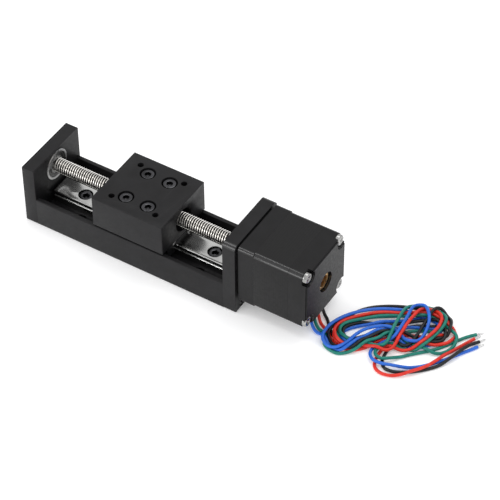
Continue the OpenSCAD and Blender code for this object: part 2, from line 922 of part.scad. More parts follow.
module lead_blue_start() {
    color(lead_blue)
        lead_tube(blue_start, [0, 1, 0]);
}

module lead_green_start() {
    color(lead_green)
        lead_tube(green_start, [0, 1, 0]);
}

module lead_red_start() {
    color(lead_red)
        lead_tube(red_start, [0, 1, 0]);
}

module lead_black_start() {
    color(lead_black)
        lead_tube(black_start, [0, 1, 0]);
}

module lead_hank() {
    color(lead_blue)
        translate([x_rear + hank_centre[0], hank_centre[1], 0])
            rotate(hank_angle)
                linear_extrude(hank_h) {
                    square([hank_len - hank_w, hank_w], center = true);
                    for (x = [-1, 1])
                        translate([x * (hank_len - hank_w) / 2, 0])
                            circle(r = hank_w / 2, $fn = 64);
                }
}

module lead_blue_tail() {
    color(lead_blue)
        lead_tube(blue_tail, [0, 0, 1]);
}

module lead_green_tail() {
    color(lead_green)
        lead_tube(green_tail, [0, 0, 1]);
}

module lead_red_tail() {
    color(lead_red)
        lead_tube(red_tail, [0, 0, 1]);
}

module lead_black_tail() {
    color(lead_black)
        lead_tube(black_tail, [0, 0, 1]);
}

// The stripped and tinned end of each lead
module tinned_ends() {
    bare = 3;
    color(ball_steel)
        for (route = [blue_tail, green_tail, red_tail, black_tail])
            let (end = route[len(route) - 1], t = heading(route, len(route) - 1))
                translate([x_rear, 0, 0] + end)
                    rotate([0, 0, atan2(t[1], t[0])])
                        rotate([0, 95, 0])
                            cylinder(h = bare, r = 0.35, $fn = 24);
}

base_channel();
end_plate();
motor_plate();
end_plate_screws();
motor_plate_screws();
guide_rail();
rail_screws();
free_bearing_outer();
free_bearing_inner();
free_bearing_balls();
free_bearing_cage();
free_bearing_shields();
slide_table();
table_screws();
guide_block();
block_cap_free();
block_cap_motor();
block_seals();
block_cap_screws();
block_balls();
ball_nut();
nut_screws();
nut_balls();
nut_wipers();
ball_screw();
rotor_sleeve();
rotor_cups();
rotor_magnet();
motor_front_cap();
stator_stack();
stator_windings();
motor_rear_cap();
motor_long_screws();
motor_mount_screws();
front_bearing_outer();
rear_bearing_outer();
front_bearing_inner();
rear_bearing_inner();
motor_bearing_balls();
motor_bearing_cages();
motor_bearing_shields();
wave_spring();
lead_bush();
lead_blue_start();
lead_green_start();
lead_red_start();
lead_black_start();
lead_hank();
lead_blue_tail();
lead_green_tail();
lead_red_tail();
lead_black_tail();
tinned_ends();
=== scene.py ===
import json
import math

import bmesh
import bpy
import numpy as np
from mathutils import Matrix, Vector

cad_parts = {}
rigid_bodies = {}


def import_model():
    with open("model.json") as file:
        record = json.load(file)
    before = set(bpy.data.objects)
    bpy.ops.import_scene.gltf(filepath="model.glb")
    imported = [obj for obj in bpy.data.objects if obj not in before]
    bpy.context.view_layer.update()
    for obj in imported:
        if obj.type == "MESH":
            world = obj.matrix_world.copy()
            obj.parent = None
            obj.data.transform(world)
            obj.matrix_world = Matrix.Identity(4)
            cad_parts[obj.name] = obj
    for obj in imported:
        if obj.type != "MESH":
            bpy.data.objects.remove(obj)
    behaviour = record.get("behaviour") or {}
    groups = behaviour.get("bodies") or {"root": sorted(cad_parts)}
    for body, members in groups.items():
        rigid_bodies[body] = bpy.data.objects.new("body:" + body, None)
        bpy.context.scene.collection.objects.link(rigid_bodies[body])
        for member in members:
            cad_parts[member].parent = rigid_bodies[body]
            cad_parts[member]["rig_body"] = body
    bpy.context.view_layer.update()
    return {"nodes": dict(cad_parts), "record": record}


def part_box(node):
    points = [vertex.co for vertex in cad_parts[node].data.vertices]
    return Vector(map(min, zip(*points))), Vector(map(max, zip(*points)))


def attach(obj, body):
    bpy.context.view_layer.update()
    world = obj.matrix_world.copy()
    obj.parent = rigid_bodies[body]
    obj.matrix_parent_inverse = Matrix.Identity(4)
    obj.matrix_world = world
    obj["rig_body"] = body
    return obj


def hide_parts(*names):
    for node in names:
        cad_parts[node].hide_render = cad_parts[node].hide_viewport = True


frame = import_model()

mm = 0.001
nodes = frame["nodes"]
slotOf = {part["node"]: part["material_slot"] for part in frame["record"]["subparts"]}

# places that the rest is built from, all in metres
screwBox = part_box("ball_screw")
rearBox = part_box("motor_rear_cap")
axisZ = (screwBox[0].z + screwBox[1].z) / 2
rearX = rearBox[1].x


def bodyOf(node):
    return nodes[node]["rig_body"]


def newObject(name, data):
    thing = bpy.data.objects.new(name, data)
    bpy.context.scene.collection.objects.link(thing)
    return thing


# camera
cameraPlace = {
    "azimuth": 32.209,  # degrees round from the front
    "elevation": 45.372,
    "roll": -0.433,
    "target": (43.41, 3.817, 15),  # mm
    "distance": 884.703,  # mm
    "lens": 167.893,  # mm, on a 36 mm sensor
}


def makeCamera(place):
    az, el, roll = (math.radians(place[k]) for k in ("azimuth", "elevation", "roll"))
    right = Vector((math.cos(az), math.sin(az), 0))
    ahead = Vector((-math.sin(az) * math.cos(el), math.cos(az) * math.cos(el), -math.sin(el)))
    up = right.cross(ahead)
    side = right * math.cos(roll) + up * math.sin(roll)
    top = up * math.cos(roll) - right * math.sin(roll)
    data = bpy.data.cameras.new("camera")
    data.lens = place["lens"]
    data.sensor_width = 36
    data.clip_start, data.clip_end = 0.05, 20
    camera = newObject("camera", data)
    spot = Vector(place["target"]) * mm - ahead * place["distance"] * mm
    turn = Matrix((side, top, -ahead)).transposed().to_4x4()
    camera.matrix_world = Matrix.Translation(spot) @ turn
    bpy.context.scene.camera = camera


makeCamera(cameraPlace)
print("camera in place")


# helpers for the finishes' nodes
def newFinish(name, base, metallic, roughness):
    finish = bpy.data.materials.new(name)
    finish.use_nodes = True
    tree = finish.node_tree
    shader = tree.nodes["Principled BSDF"]
    shader.inputs["Base Color"].default_value = (*base, 1)
    shader.inputs["Metallic"].default_value = metallic
    shader.inputs["Roughness"].default_value = roughness
    return finish, tree, shader


def addNode(tree, kind, **values):
    node = tree.nodes.new(kind)
    for key, value in values.items():
        if key in node.inputs:
            node.inputs[key].default_value = value
        else:
            setattr(node, key, value)
    return node


def objectPoint(tree, stretch=(1, 1, 1)):
    place = tree.nodes.new("ShaderNodeTexCoord")
    mapping = tree.nodes.new("ShaderNodeMapping")
    mapping.inputs["Scale"].default_value = stretch
    tree.links.new(place.outputs["Object"], mapping.inputs["Vector"])
    return mapping.outputs["Vector"]


def noise(tree, point, scale, detail=3.0, rough=0.5):
    node = addNode(tree, "ShaderNodeTexNoise", Scale=scale, Detail=detail, Roughness=rough)
    tree.links.new(point, node.inputs["Vector"])
    return node.outputs["Fac"]


def spread(tree, value, low, high, fromLow=0.3, fromHigh=0.7):
    node = tree.nodes.new("ShaderNodeMapRange")
    node.inputs["From Min"].default_value = fromLow
    node.inputs["From Max"].default_value = fromHigh
    node.inputs["To Min"].default_value = low
    node.inputs["To Max"].default_value = high
    tree.links.new(value, node.inputs["Value"])
    return node.outputs["Result"]


def twoTone(tree, value, dark, light, low, high):
    ramp = tree.nodes.new("ShaderNodeValToRGB")
    ramp.color_ramp.elements[0].position = low
    ramp.color_ramp.elements[0].color = (*dark, 1)
    ramp.color_ramp.elements[1].position = high
    ramp.color_ramp.elements[1].color = (*light, 1)
    tree.links.new(value, ramp.inputs["Fac"])
    return ramp.outputs["Color"]


def paint(tree, shader, cloud, dark, light, patches, rough, at=(0.3, 0.7)):
    tree.links.new(twoTone(tree, cloud, dark, light, *at), shader.inputs["Base Color"])
    tree.links.new(spread(tree, patches, *rough), shader.inputs["Roughness"])


def addBump(tree, shader, height, strength, distance):
    bump = tree.nodes.new("ShaderNodeBump")
    bump.inputs["Strength"].default_value = strength
    bump.inputs["Distance"].default_value = distance
    tree.links.new(height, bump.inputs["Height"])
    if shader.inputs["Normal"].is_linked:
        tree.links.new(shader.inputs["Normal"].links[0].from_socket, bump.inputs["Normal"])
    tree.links.new(bump.outputs["Normal"], shader.inputs["Normal"])


# finishes
anodisedLook = {
    "dark": (0.0065, 0.0062, 0.0068), "light": (0.0105, 0.0102, 0.0112),
    "rough": (0.34, 0.46), "gloss": 0.2, "cloud": 160, "patches": 900, "grain": 5200,
    "relief": 0.14, "depth": 0.00002, "toolMarks": 0.1, "toolDepth": 0.00003,
}
cornerLook = {**anodisedLook, "rough": (0.22, 0.3), "gloss": 0.5}


def anodisedFinish(name, look, lines=None, tint=1.0):
    dark = [c * tint for c in look["dark"]]
    light = [c * tint for c in look["light"]]
    finish, tree, shader = newFinish(name, light, 0, look["rough"][1])
    shader.inputs["Specular IOR Level"].default_value = look["gloss"]
    point = objectPoint(tree)
    cloud = noise(tree, point, look["cloud"], 4)
    patches = noise(tree, point, look["patches"], 2)
    paint(tree, shader, cloud, dark, light, patches, look["rough"])
    addBump(tree, shader, noise(tree, point, look["grain"], 2, 0.6), look["relief"], look["depth"])
    if lines:  # fine tool marks, close together across the grain and long beside it
        marks = noise(tree, objectPoint(tree, lines), 1, 2, 0.4)
        addBump(tree, shader, marks, look["toolMarks"], look["toolDepth"])
    return finish


def metalFinish(name, dark, light, rough, lines=(60, 4200, 4200), relief=0.12, depth=0.00002):
    finish, tree, shader = newFinish(name, light, 1, rough[0])
    marks = noise(tree, objectPoint(tree, lines), 1, 3, 0.55)
    cloud = noise(tree, objectPoint(tree), 240, 3)
    paint(tree, shader, cloud, dark, light, marks, rough)
    addBump(tree, shader, marks, relief, depth)
    return finish


plasticLook = {"rough": (0.42, 0.56), "gloss": 0.5, "cloud": 300, "patches": 1400, "grain": 3200,
               "relief": 0.12, "depth": 0.00003}
leadLook = {"rough": (0.28, 0.42), "gloss": 0.35, "cloud": 420, "patches": 1500, "grain": 2600,
            "relief": 0.1, "depth": 0.00004}


def plasticFinish(name, dark, light, look=plasticLook):
    finish, tree, shader = newFinish(name, light, 0, look["rough"][0])
    shader.inputs["Specular IOR Level"].default_value = look["gloss"]
    point = objectPoint(tree)
    cloud = noise(tree, point, look["cloud"], 3)
    patches = noise(tree, point, look["patches"], 2)
    paint(tree, shader, cloud, dark, light, patches, look["rough"])
    addBump(tree, shader, noise(tree, point, look["grain"], 2), look["relief"], look["depth"])
    return finish


def laminationFinish(look):
    # fine lines round the stack, for its pressed sheets
    finish, tree, shader = newFinish("stackedSheets", look["light"], 0, look["rough"][0])
    shader.inputs["Specular IOR Level"].default_value = look["gloss"]
    point = objectPoint(tree)
    bands = addNode(tree, "ShaderNodeTexWave", wave_type="BANDS", bands_direction="X",
                    wave_profile="SIN", Scale=look["sheets"], Distortion=0.0)
    tree.links.new(point, bands.inputs["Vector"])
    sheets = bands.outputs["Fac"]
    patches = noise(tree, point, look["patches"], 3)
    paint(tree, shader, sheets, look["dark"], look["light"], patches, look["rough"], (0.05, 0.5))
    addBump(tree, shader, sheets, look["step"], look["depth"])
    addBump(tree, shader, noise(tree, point, look["grain"], 2), look["relief"], look["depth"])
    return finish


def windingFinish(look):
    finish, tree, shader = newFinish("enamelledWire", look["light"], 0.85, 0.3)
    point = objectPoint(tree)
    bands = addNode(tree, "ShaderNodeTexWave", wave_type="BANDS", bands_direction="Z",
                    wave_profile="SIN", Scale=look["wires"], Distortion=0.6)
    tree.links.new(point, bands.inputs["Vector"])
    tree.links.new(twoTone(tree, bands.outputs["Fac"], look["dark"], look["light"], 0.1, 0.8),
                   shader.inputs["Base Color"])
    addBump(tree, shader, bands.outputs["Fac"], 0.5, 0.0001)
    return finish


def threadFinishWithPaintedGrooveShade(look):
    # bright steel at the crests, with painted shade down in the grooves: the colour darkens from the crest to
    # the root
    finish, tree, shader = newFinish("threadSteelWithPaintedGrooveShade", look["light"], 1, look["rough"][0])
    place = tree.nodes.new("ShaderNodeTexCoord")
    moved = addNode(tree, "ShaderNodeVectorMath", operation="SUBTRACT")
    moved.inputs[1].default_value = (0, 0, axisZ)
    flat = addNode(tree, "ShaderNodeVectorMath", operation="MULTIPLY")
    flat.inputs[1].default_value = (0, 1, 1)
    size = addNode(tree, "ShaderNodeVectorMath", operation="LENGTH")
    tree.links.new(place.outputs["Object"], moved.inputs[0])
    tree.links.new(moved.outputs["Vector"], flat.inputs[0])
    tree.links.new(flat.outputs["Vector"], size.inputs[0])
    # painted shade: dark at the root of each groove, turning light near the crest
    high = spread(tree, size.outputs["Value"], 0, 1, look["root"] * mm, look["crest"] * mm)
    marks = noise(tree, objectPoint(tree, (1500, 1500, 1500)), 1, 3)
    paint(tree, shader, high, look["dark"], look["light"], marks, look["rough"], (0.25, 0.95))
    addBump(tree, shader, marks, look["relief"], look["depth"])
    return finish


leadColours = {
    "blue": ((0.014, 0.105, 0.5), (0.02, 0.14, 0.62)),
    "green": ((0.004, 0.15, 0.115), (0.008, 0.21, 0.16)),
    "red": ((0.56, 0.018, 0.01), (0.7, 0.032, 0.016)),
    "black": ((0.003, 0.004, 0.005), (0.007, 0.008, 0.01)),
}
finishes = {
    "black_anodised": anodisedFinish("anodisedAlloy", anodisedLook),
    "channelBlack": anodisedFinish("anodisedDrawn", anodisedLook, (35, 2600, 2600)),
    "capBlack": anodisedFinish("blackCapCast", anodisedLook, None, 0.65),
    "cornerBlack": anodisedFinish("cornerCoat", cornerLook),
    "black_oxide": metalFinish("blackOxide", (0.035, 0.035, 0.037), (0.075, 0.075, 0.08), (0.2, 0.3),
                               (900, 900, 900), 0.1),
    "ground_steel": metalFinish("groundSteel", (0.42, 0.42, 0.415), (0.54, 0.54, 0.53), (0.17, 0.22),
                                (40, 3000, 3000), 0.03),
    # steel of the thread, with painted shade in its grooves
    "threadSteelGrooveShaded": threadFinishWithPaintedGrooveShade({"root": 2.58, "crest": 2.75, "dark": (0.014, 0.013, 0.012),
                                 "light": (0.88, 0.86, 0.82), "rough": (0.24, 0.32), "relief": 0.03,
                                 "depth": 0.00002}),
    "ringSteel": metalFinish("turnedRingSteel", (0.6, 0.6, 0.6), (0.78, 0.78, 0.78), (0.24, 0.38),
                             (4200, 500, 500)),
    "shieldSteel": metalFinish("pressedShield", (0.13, 0.13, 0.13), (0.24, 0.24, 0.24), (0.26, 0.38),
                               (1500, 1500, 1500), 0.06),
    "screwNickel": metalFinish("nickelScrew", (0.26, 0.26, 0.255), (0.42, 0.42, 0.41), (0.14, 0.22),
                               (1500, 1500, 1500), 0.08),
    "sheet_steel": metalFinish("brightZinc", (0.55, 0.55, 0.55), (0.76, 0.76, 0.75), (0.22, 0.36),
                               (1800, 1800, 1800), 0.16),
    "ball_steel": metalFinish("polishedBall", (0.72, 0.72, 0.73), (0.84, 0.84, 0.85), (0.06, 0.12),
                              (900, 900, 900), 0.03),
    "brass": metalFinish("turnedBrass", (0.68, 0.43, 0.18), (0.86, 0.6, 0.3), (0.3, 0.42),
                         (3600, 500, 500)),
    "black_plastic": plasticFinish("blackNylon", (0.008, 0.008, 0.009), (0.018, 0.018, 0.02)),
    "wiper_plastic": plasticFinish("brownWiper", (0.12, 0.05, 0.02), (0.2, 0.09, 0.04)),
    "laminations": laminationFinish({"sheets": 320.0, "dark": (0.0042, 0.0041, 0.0044),
                                     "light": (0.0058, 0.0056, 0.006), "rough": (0.38, 0.52),
                                     "gloss": 0.22, "patches": 1100, "grain": 4200, "step": 0.05,
                                     "relief": 0.12, "depth": 0.00002}),
    "magnet": metalFinish("sinteredMagnet", (0.1, 0.1, 0.11), (0.22, 0.22, 0.24), (0.4, 0.55),
                          (2200, 2200, 2200), 0.3),
    "copper": windingFinish({"wires": 900.0, "dark": (0.28, 0.08, 0.02), "light": (0.62, 0.24, 0.07)}),
    "tinned_copper": metalFinish("tinnedStrands", (0.6, 0.6, 0.6), (0.82, 0.82, 0.82), (0.2, 0.36),
                                 (2600, 2600, 2600), 0.2),
}
for colour, (dark, light) in leadColours.items():
    finishes["lead_" + colour] = plasticFinish(colour + "Insulation", dark, light, leadLook)
finishes["lead_mixed"] = finishes["lead_blue"]
print("finishes made")


# helpers for meshes
def newPiece(name, mesh, body, finish, stands):
    piece = newObject(name, mesh)
    mesh.materials.clear()
    mesh.materials.append(finishes[finish])
    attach(piece, body)
    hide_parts(*stands)
    return piece


def meshFrom(name, points, faces, sharp=35):
    mesh = bpy.data.meshes.new(name)
    mesh.from_pydata([tuple(p) for p in points], [], faces)
    mesh.validate()
    mesh.shade_smooth()
    mesh.set_sharp_from_angle(angle=math.radians(sharp))
    return mesh


def tubeFaces(rings, sides):
    # The walls between rings of points, then the two ends.
    faces = []
    for i in range(rings - 1):
        for k in range(sides):
            n = (k + 1) % sides
            faces.append((i * sides + k, i * sides + n, (i + 1) * sides + n, (i + 1) * sides + k))
    faces.append(tuple(reversed(range(sides))))
    faces.append(tuple((rings - 1) * sides + k for k in range(sides)))
    return faces


def scaled(rings):
    return [(h * mm, (lambda t, f=r: f(t) * mm) if callable(r) else r * mm) for h, r in rings]


def lathe(rings, sides, place, axis):
    # Rings of (height, radius), where the radius may also be a function of the angle.
    along = Vector(axis).normalized()
    across = along.orthogonal().normalized()
    third = along.cross(across)
    points = []
    for height, radius in rings:
        for k in range(sides):
            turn = 2 * math.pi * k / sides
            r = radius(turn) if callable(radius) else radius
            out = across * math.cos(turn) + third * math.sin(turn)
            points.append(Vector(place) + along * height + out * r)
    return points, tubeFaces(len(rings), sides)


def joined(parts):
    points, faces = [], []
    for p, f in parts:
        base = len(points)
        points += p
        faces += [tuple(base + i for i in face) for face in f]
    return points, faces


# the four leads; points are in mm from the middle of the motor's rear edge on the floor
leadChoices = {
    "diameter": 1.3,
    "hankCentre": (23, 7),
    "hankAngle": 33.5,
    "spacing": 1.0,  # between the points of a finished lead
    "fineSteps": 24,  # from one given point to the next, before that
    "settle": {  # where two values stand, the second is for the last rounds
        "rounds": 420, "lateFrom": 0.6, "sortUntil": 0.5, "sort": 0.5, "lookEvery": 10, "reach": 3.0,
        "batch": 300, "neighbours": 5, "leastWeight": 0.6, "clearance": 1.02,
        "stiffness": (0.2, 0.14), "relax": (0.02, 0), "pull": (0.015, 0.003), "pullDown": 0.8,
        "tightFrom": 0.16, "tightOver": 0.1, "straighten": 0.25, "even": 0.2, "sink": 0.005,
        "highest": 6.2, "farthest": 24.35,
    },
    "starts": {
        "blue": [(-4, -3.3, 7.4), (-4, -3.4, 5.2), (-2.2, -6.1, 2.1), (0.8, -7.8, 0.75), (4.5, -8, 0.65)],
        "green": [(-4, -1.1, 7.4), (-4, -1.2, 5.2), (-2.1, -4, 2.1), (0.8, -6, 0.75), (3.2, -6.6, 0.65)],
        "red": [(-4, 1.1, 7.4), (-4, 1, 5.2), (-2.2, -1.1, 2.1), (0, -3.1, 0.75), (2, -4.2, 0.65)],
        "black": [(-4, 3.3, 7.4), (-4, 3.2, 5.2), (-2.3, 2.3, 2.1), (-0.4, 1, 0.75), (1.4, 0, 0.65)],
    },
    "tails": {
        "blue": [
            (23.1, -4.2, 1.3), (23.7, -7.3, 1.7), (26.2, -9.7, 1.95), (29.6, -9.8, 1.95), (33, -8.7, 1.95),
            (36.2, -7.1, 1.3), (39.3, -5.2, 0.65), (42.2, -2.9, 0.65), (44.7, -0.1, 0.65), (46.8, 2.6, 0.65),
            (48.8, 5.4, 0.65), (50.7, 8.5, 0.65), (52.5, 11.6, 0.65), (54.3, 14.4, 0.65), (55.9, 17.2, 0.65),
        ],
        "green": [
            (25.1, -2.9, 1.3), (24.8, -5, 1.8), (26, -7.1, 1.95), (28.4, -7.7, 1.95), (30.6, -6.3, 1.95),
            (32.1, -4.4, 1.3), (34.2, -2, 0.65), (36.6, 0.8, 0.65), (39.1, 3.4, 0.65), (41.7, 6.1, 0.65),
            (44, 9.1, 0.65), (46, 12.4, 0.65), (48, 15.9, 0.65), (50.1, 19.4, 0.65), (52.6, 22.5, 0.65),
        ],
        "red": [
            (26.3, -2.2, 0.65), (26.3, -5.6, 0.65), (26.8, -8.9, 0.65), (28.4, -11.8, 0.65),
            (31.4, -13, 0.65), (34.8, -12.4, 0.65), (38, -10.6, 1.1), (40.8, -7.9, 1.95), (43.2, -4.7, 1.95),
            (45.2, -1.3, 1.95), (46.6, 2.4, 1.95), (47.8, 6.1, 1.9), (49, 9.9, 1.1), (50.6, 14.6, 0.65),
            (53, 20.2, 0.65),
        ],
        "black": [
            (28.2, -1, 0.65), (28.3, -4.4, 0.65), (29.2, -7.8, 0.65), (31.5, -10.2, 0.65),
            (34.8, -10.1, 0.65), (38, -8.6, 0.65), (41, -6.6, 0.65), (43.7, -4.2, 0.65), (46.1, -1.5, 0.65),
            (48.3, 1.6, 0.8), (50, 5.2, 1.7), (51.2, 8.8, 1.95), (52.1, 12.2, 1.95), (53.3, 15.8, 1.5),
            (55.2, 19.8, 0.65),
        ],
    },
    # each lead's way through the hank, as (along, across, height) from the hank's middle
    "routes": {
        "blue": [
            (-23.1, -6.2, 0.7), (-20.6, -9.3, 1.2), (-16.8, -9.5, 2), (-12.7, -7.2, 2.9), (-9.3, -5.4, 3.4),
            (-5, -3.2, 4), (1, -2, 3.8), (7, 0, 2.6), (12, 1, 1.4), (16.4, -0.2, 0.9), (20.8, -0.2, 0.7),
            (23.4, 1.9, 0.7), (22.9, 4.6, 0.7), (20.2, 6, 0.9), (16.5, 6, 1.2), (10.5, 4.8, 1.6),
            (4, 3.6, 1.9), (-2, 3, 2), (-8, 2.8, 2), (-13.5, 1.8, 2), (-17, -0.4, 1.8), (-18.2, -3.4, 1.5),
            (-16.4, -6.2, 1.2), (-12.6, -7, 0.9), (-7.5, -5.2, 0.7), (-2, -4.2, 1.2), (3, -5.6, 2),
            (7.5, -8.6, 1), (12.5, -9.1, 0.9), (17, -7.4, 0.9), (20.2, -4.2, 1), (20.4, 0, 1.4),
            (18.2, 3.8, 2), (13.5, 6, 2.8), (9, 6.8, 3.6), (5.9, 7.3, 4), (-0.9, 8.4, 4.3), (-10, 7.3, 4.4),
            (-16.9, 4.5, 4.4), (-21.7, 1, 4), (-24.2, -3.4, 3.4), (-23.9, -7.2, 2.8), (-21.3, -9.4, 3),
            (-17.5, -9.3, 3.8), (-14.8, -7.2, 4.3), (-12.2, -4.6, 4.7), (-8.3, -2.2, 5), (-4.1, -1.3, 5.1),
            (0.2, -1.5, 5.1), (3.8, -3.6, 4.6), (5.8, -7, 3.6), (8.6, -9, 2.6), (11.4, -7.8, 2.9),
            (13.1, -5.2, 3.8), (15.2, -1.1, 5), (15.9, 2.6, 5.5), (15.3, 6, 5.5), (14.2, 8.6, 4.9),
            (12.4, 10, 3.9), (10.7, 9.4, 5), (9.2, 6, 5.6), (6.6, 1, 5.7), (4.2, -3.2, 5.2), (1.6, -6.2, 3.8),
            (-1, -6.9, 2.2), (-3.5, -6.8, 1.1), (-5.3, -7.7, 1),
        ],
        "green": [
            (-23.6, -4.4, 0.65), (-22.2, -8, 0.65), (-19.2, -10.4, 0.9), (-15.7, -10.4, 1.4), (-12, -9, 1.8),
            (-9.4, -7.9, 2.3), (-5.1, -6.1, 3.1), (0.3, -4.5, 3.6), (6, -2.6, 2.6), (10.5, -0.9, 1.8),
            (16, -1.4, 1.2), (20.5, -0.8, 0.9), (23.6, 1.4, 0.8), (22.8, 4.6, 0.8), (19, 6.6, 1),
            (13.5, 7.2, 1.4), (8, 6.7, 2), (2, 6, 2.6), (-4, 5.8, 2.8), (-10, 4.8, 2.6), (-15.4, 2.6, 2),
            (-18.9, -0.6, 1.6), (-19, -4.2, 1.3), (-16.2, -7, 1), (-12, -6.4, 0.8), (-7, -3.9, 0.7),
            (-2, -2.9, 1), (3, -4.6, 1.3), (6.5, -7.4, 1.3), (10, -9.9, 1.6), (13.3, -11.3, 1.95),
            (16.4, -12.5, 1.3), (19.4, -12.5, 0.7), (22.3, -11, 1.1), (24.4, -8.4, 1.9), (25.2, -5.4, 1.95),
            (24.4, -2.4, 1.3), (22, 1, 1.3), (18.5, 4.6, 2), (13.5, 5.4, 2.8), (8, 5.6, 3.4), (2, 5.5, 3.5),
            (-4, 5.3, 3.5), (-10, 4, 3.4), (-14, 2.9, 3.3), (-16.8, 1, 3.2), (-17.9, -1.6, 3),
            (-17.3, -4.4, 2.8), (-14.6, -6.6, 2.6), (-10.5, -6.3, 1.7), (-7.4, -7.3, 2.3), (-4.9, -9.2, 3.3),
            (-2.2, -10, 4), (-0.2, -8.4, 4.7), (0.9, -5.4, 5), (3, -0.4, 5.6), (5.6, 4.6, 5.5), (8, 8.5, 4.9),
            (10.2, 9.9, 3.6), (13.5, 9.9, 3), (17.4, 8.8, 3.2), (20.6, 6.8, 3.6), (22.2, 4.2, 4),
            (21.9, 1, 4.4), (20.2, -2.2, 4.6), (17, -5.8, 4.2), (14, -8.8, 3), (11, -10.6, 1.8),
            (7.6, -10.4, 1), (4.6, -9.2, 1.2), (1.6, -7.5, 1.9), (-1.2, -6.6, 1.2), (-3.3, -7.5, 0.9),
        ],
        "red": [
            (-22.6, -1.6, 0.65), (-20.9, -5.2, 0.65), (-17.6, -7.6, 0.7), (-13, -8.6, 0.8), (-9.4, -7.8, 1),
            (-4.3, -6.2, 1.8), (-0.2, -5.6, 2.4), (4.5, -4.4, 2.2), (9, -3.6, 2.2), (14.5, -4.4, 1.4),
            (19, -4.8, 1), (22.6, -4, 0.9), (24.2, -1.2, 0.8), (22.8, 2.2, 0.9), (19, 5.4, 1),
            (13.5, 7.4, 0.9), (8, 8, 0.8), (2, 8.4, 0.8), (-4, 8.2, 0.8), (-10, 6.6, 0.8), (-15.4, 4, 1),
            (-19, 0.8, 1.2), (-20.4, -3, 1), (-18.8, -6.4, 0.9), (-15.2, -8.3, 1.3), (-10.5, -7.2, 1.6),
            (-5.5, -4.6, 2), (0, -3, 2.4), (5.5, -4.4, 1.6), (10.5, -7.2, 1.5), (15.5, -8.4, 1.4),
            (19.6, -9.2, 1.95), (22.9, -8.4, 2.1), (25, -6, 2), (25.4, -3.2, 1.2), (23.6, -0.2, 1.4),
            (20, 3.2, 2.2), (15.5, 6, 2.8), (10, 6.6, 3.4), (4, 6.9, 3.8), (-2, 7, 4), (-8, 6.2, 3.9),
            (-13.5, 4.6, 3.8), (-17.6, 2.6, 3.7), (-20, -0.6, 3.5), (-20.2, -3.4, 3.3), (-18.2, -6.4, 3),
            (-14.6, -7.9, 2.4), (-10.6, -8, 1.8), (-7.3, -9, 2.4), (-3.8, -11.1, 2.9), (-1.2, -11.8, 2.7),
            (1.2, -10.8, 3.4), (2.8, -8.2, 4.6), (5, -4, 5.4), (8, 0.4, 5.75), (11.6, 5.2, 5.6),
            (14.1, 7.6, 5), (16.6, 8.2, 4.2), (18.9, 7.2, 4.2), (20.3, 4.8, 4.7), (20.4, 1.6, 5),
            (18.6, -2.9, 5), (15, -6.6, 4.8), (11.2, -9.1, 4), (8.4, -10.9, 2.9), (5.6, -11.3, 1.9),
            (2.9, -10.2, 1.8), (0.6, -8.9, 1.9), (-1.1, -8.8, 1.2),
        ],
        "black": [
            (-21.9, 2.4, 0.65), (-20.9, -1.4, 0.65), (-19, -4.6, 0.65), (-15.8, -6.2, 0.65),
            (-11, -6.4, 0.65), (-6, -3, 0.65), (-1, -1, 0.7), (4, 0.2, 0.9), (9, 0.9, 1), (14, 1.2, 1),
            (18.2, 1.2, 1), (21.5, 2.4, 1), (22, 5, 1.1), (19.8, 7.4, 1.4), (17, 8.9, 1.9), (13, 9.8, 2.4),
            (6, 10.4, 3.1), (0, 10.5, 3.4), (-6, 9.9, 3.4), (-11, 8.2, 3.2), (-16, 5, 2.9), (-20.6, 1.6, 2.6),
            (-22.4, -2.4, 2.2), (-21.8, -6.4, 1.8), (-19, -9, 1.7), (-15, -9, 2), (-11, -7.2, 2.7),
            (-6.7, -4.6, 3.8), (0.4, -3, 4.2), (5.5, -3.6, 3.2), (10, -5.6, 1.9), (14.5, -7.4, 1.6),
            (18.2, -7.6, 1.6), (21.2, -6, 1.7), (22.1, -3.2, 2), (20.8, 0.2, 2.2), (18, 3.2, 2.2),
            (13, 3.8, 2.2), (7, 3.1, 1.9), (1, 2.8, 1.8), (-5, 3.1, 1.9), (-10.5, 3.2, 2.3), (-14.6, 2, 2.4),
            (-17, -0.4, 2.4), (-17.4, -3.2, 2.3), (-15.2, -5.6, 2.2), (-11.6, -5.4, 2.2), (-8, -3.6, 2.2),
            (-4, -2.8, 2.6), (0, -4.4, 2.6), (3.2, -7.6, 2.4), (6, -9.8, 2), (8.6, -8.6, 2.2),
            (10.4, -5.6, 3.2), (12, -2.6, 3.8), (14.2, 0.8, 4.5), (16.6, 4.6, 5.1), (18.6, 7.2, 5.3),
            (20.4, 7.3, 3.6), (22, 5.4, 2.2), (23.2, 2.6, 1.6), (23.4, -0.8, 1.4), (22, -4.2, 1.5),
            (18.6, -6.6, 1.2), (14.4, -7.2, 0.8), (10.4, -7, 0.65), (7, -6.2, 0.65), (4.2, -5.9, 0.65),
            (2, -6.6, 0.65), (0.7, -8.2, 0.65),
        ],
    },
}


def hankPoint(u, v, z):
    a = math.radians(leadChoices["hankAngle"])
    cx, cy = leadChoices["hankCentre"]
    return (cx + u * math.cos(a) - v * math.sin(a), cy + u * math.sin(a) + v * math.cos(a), z)


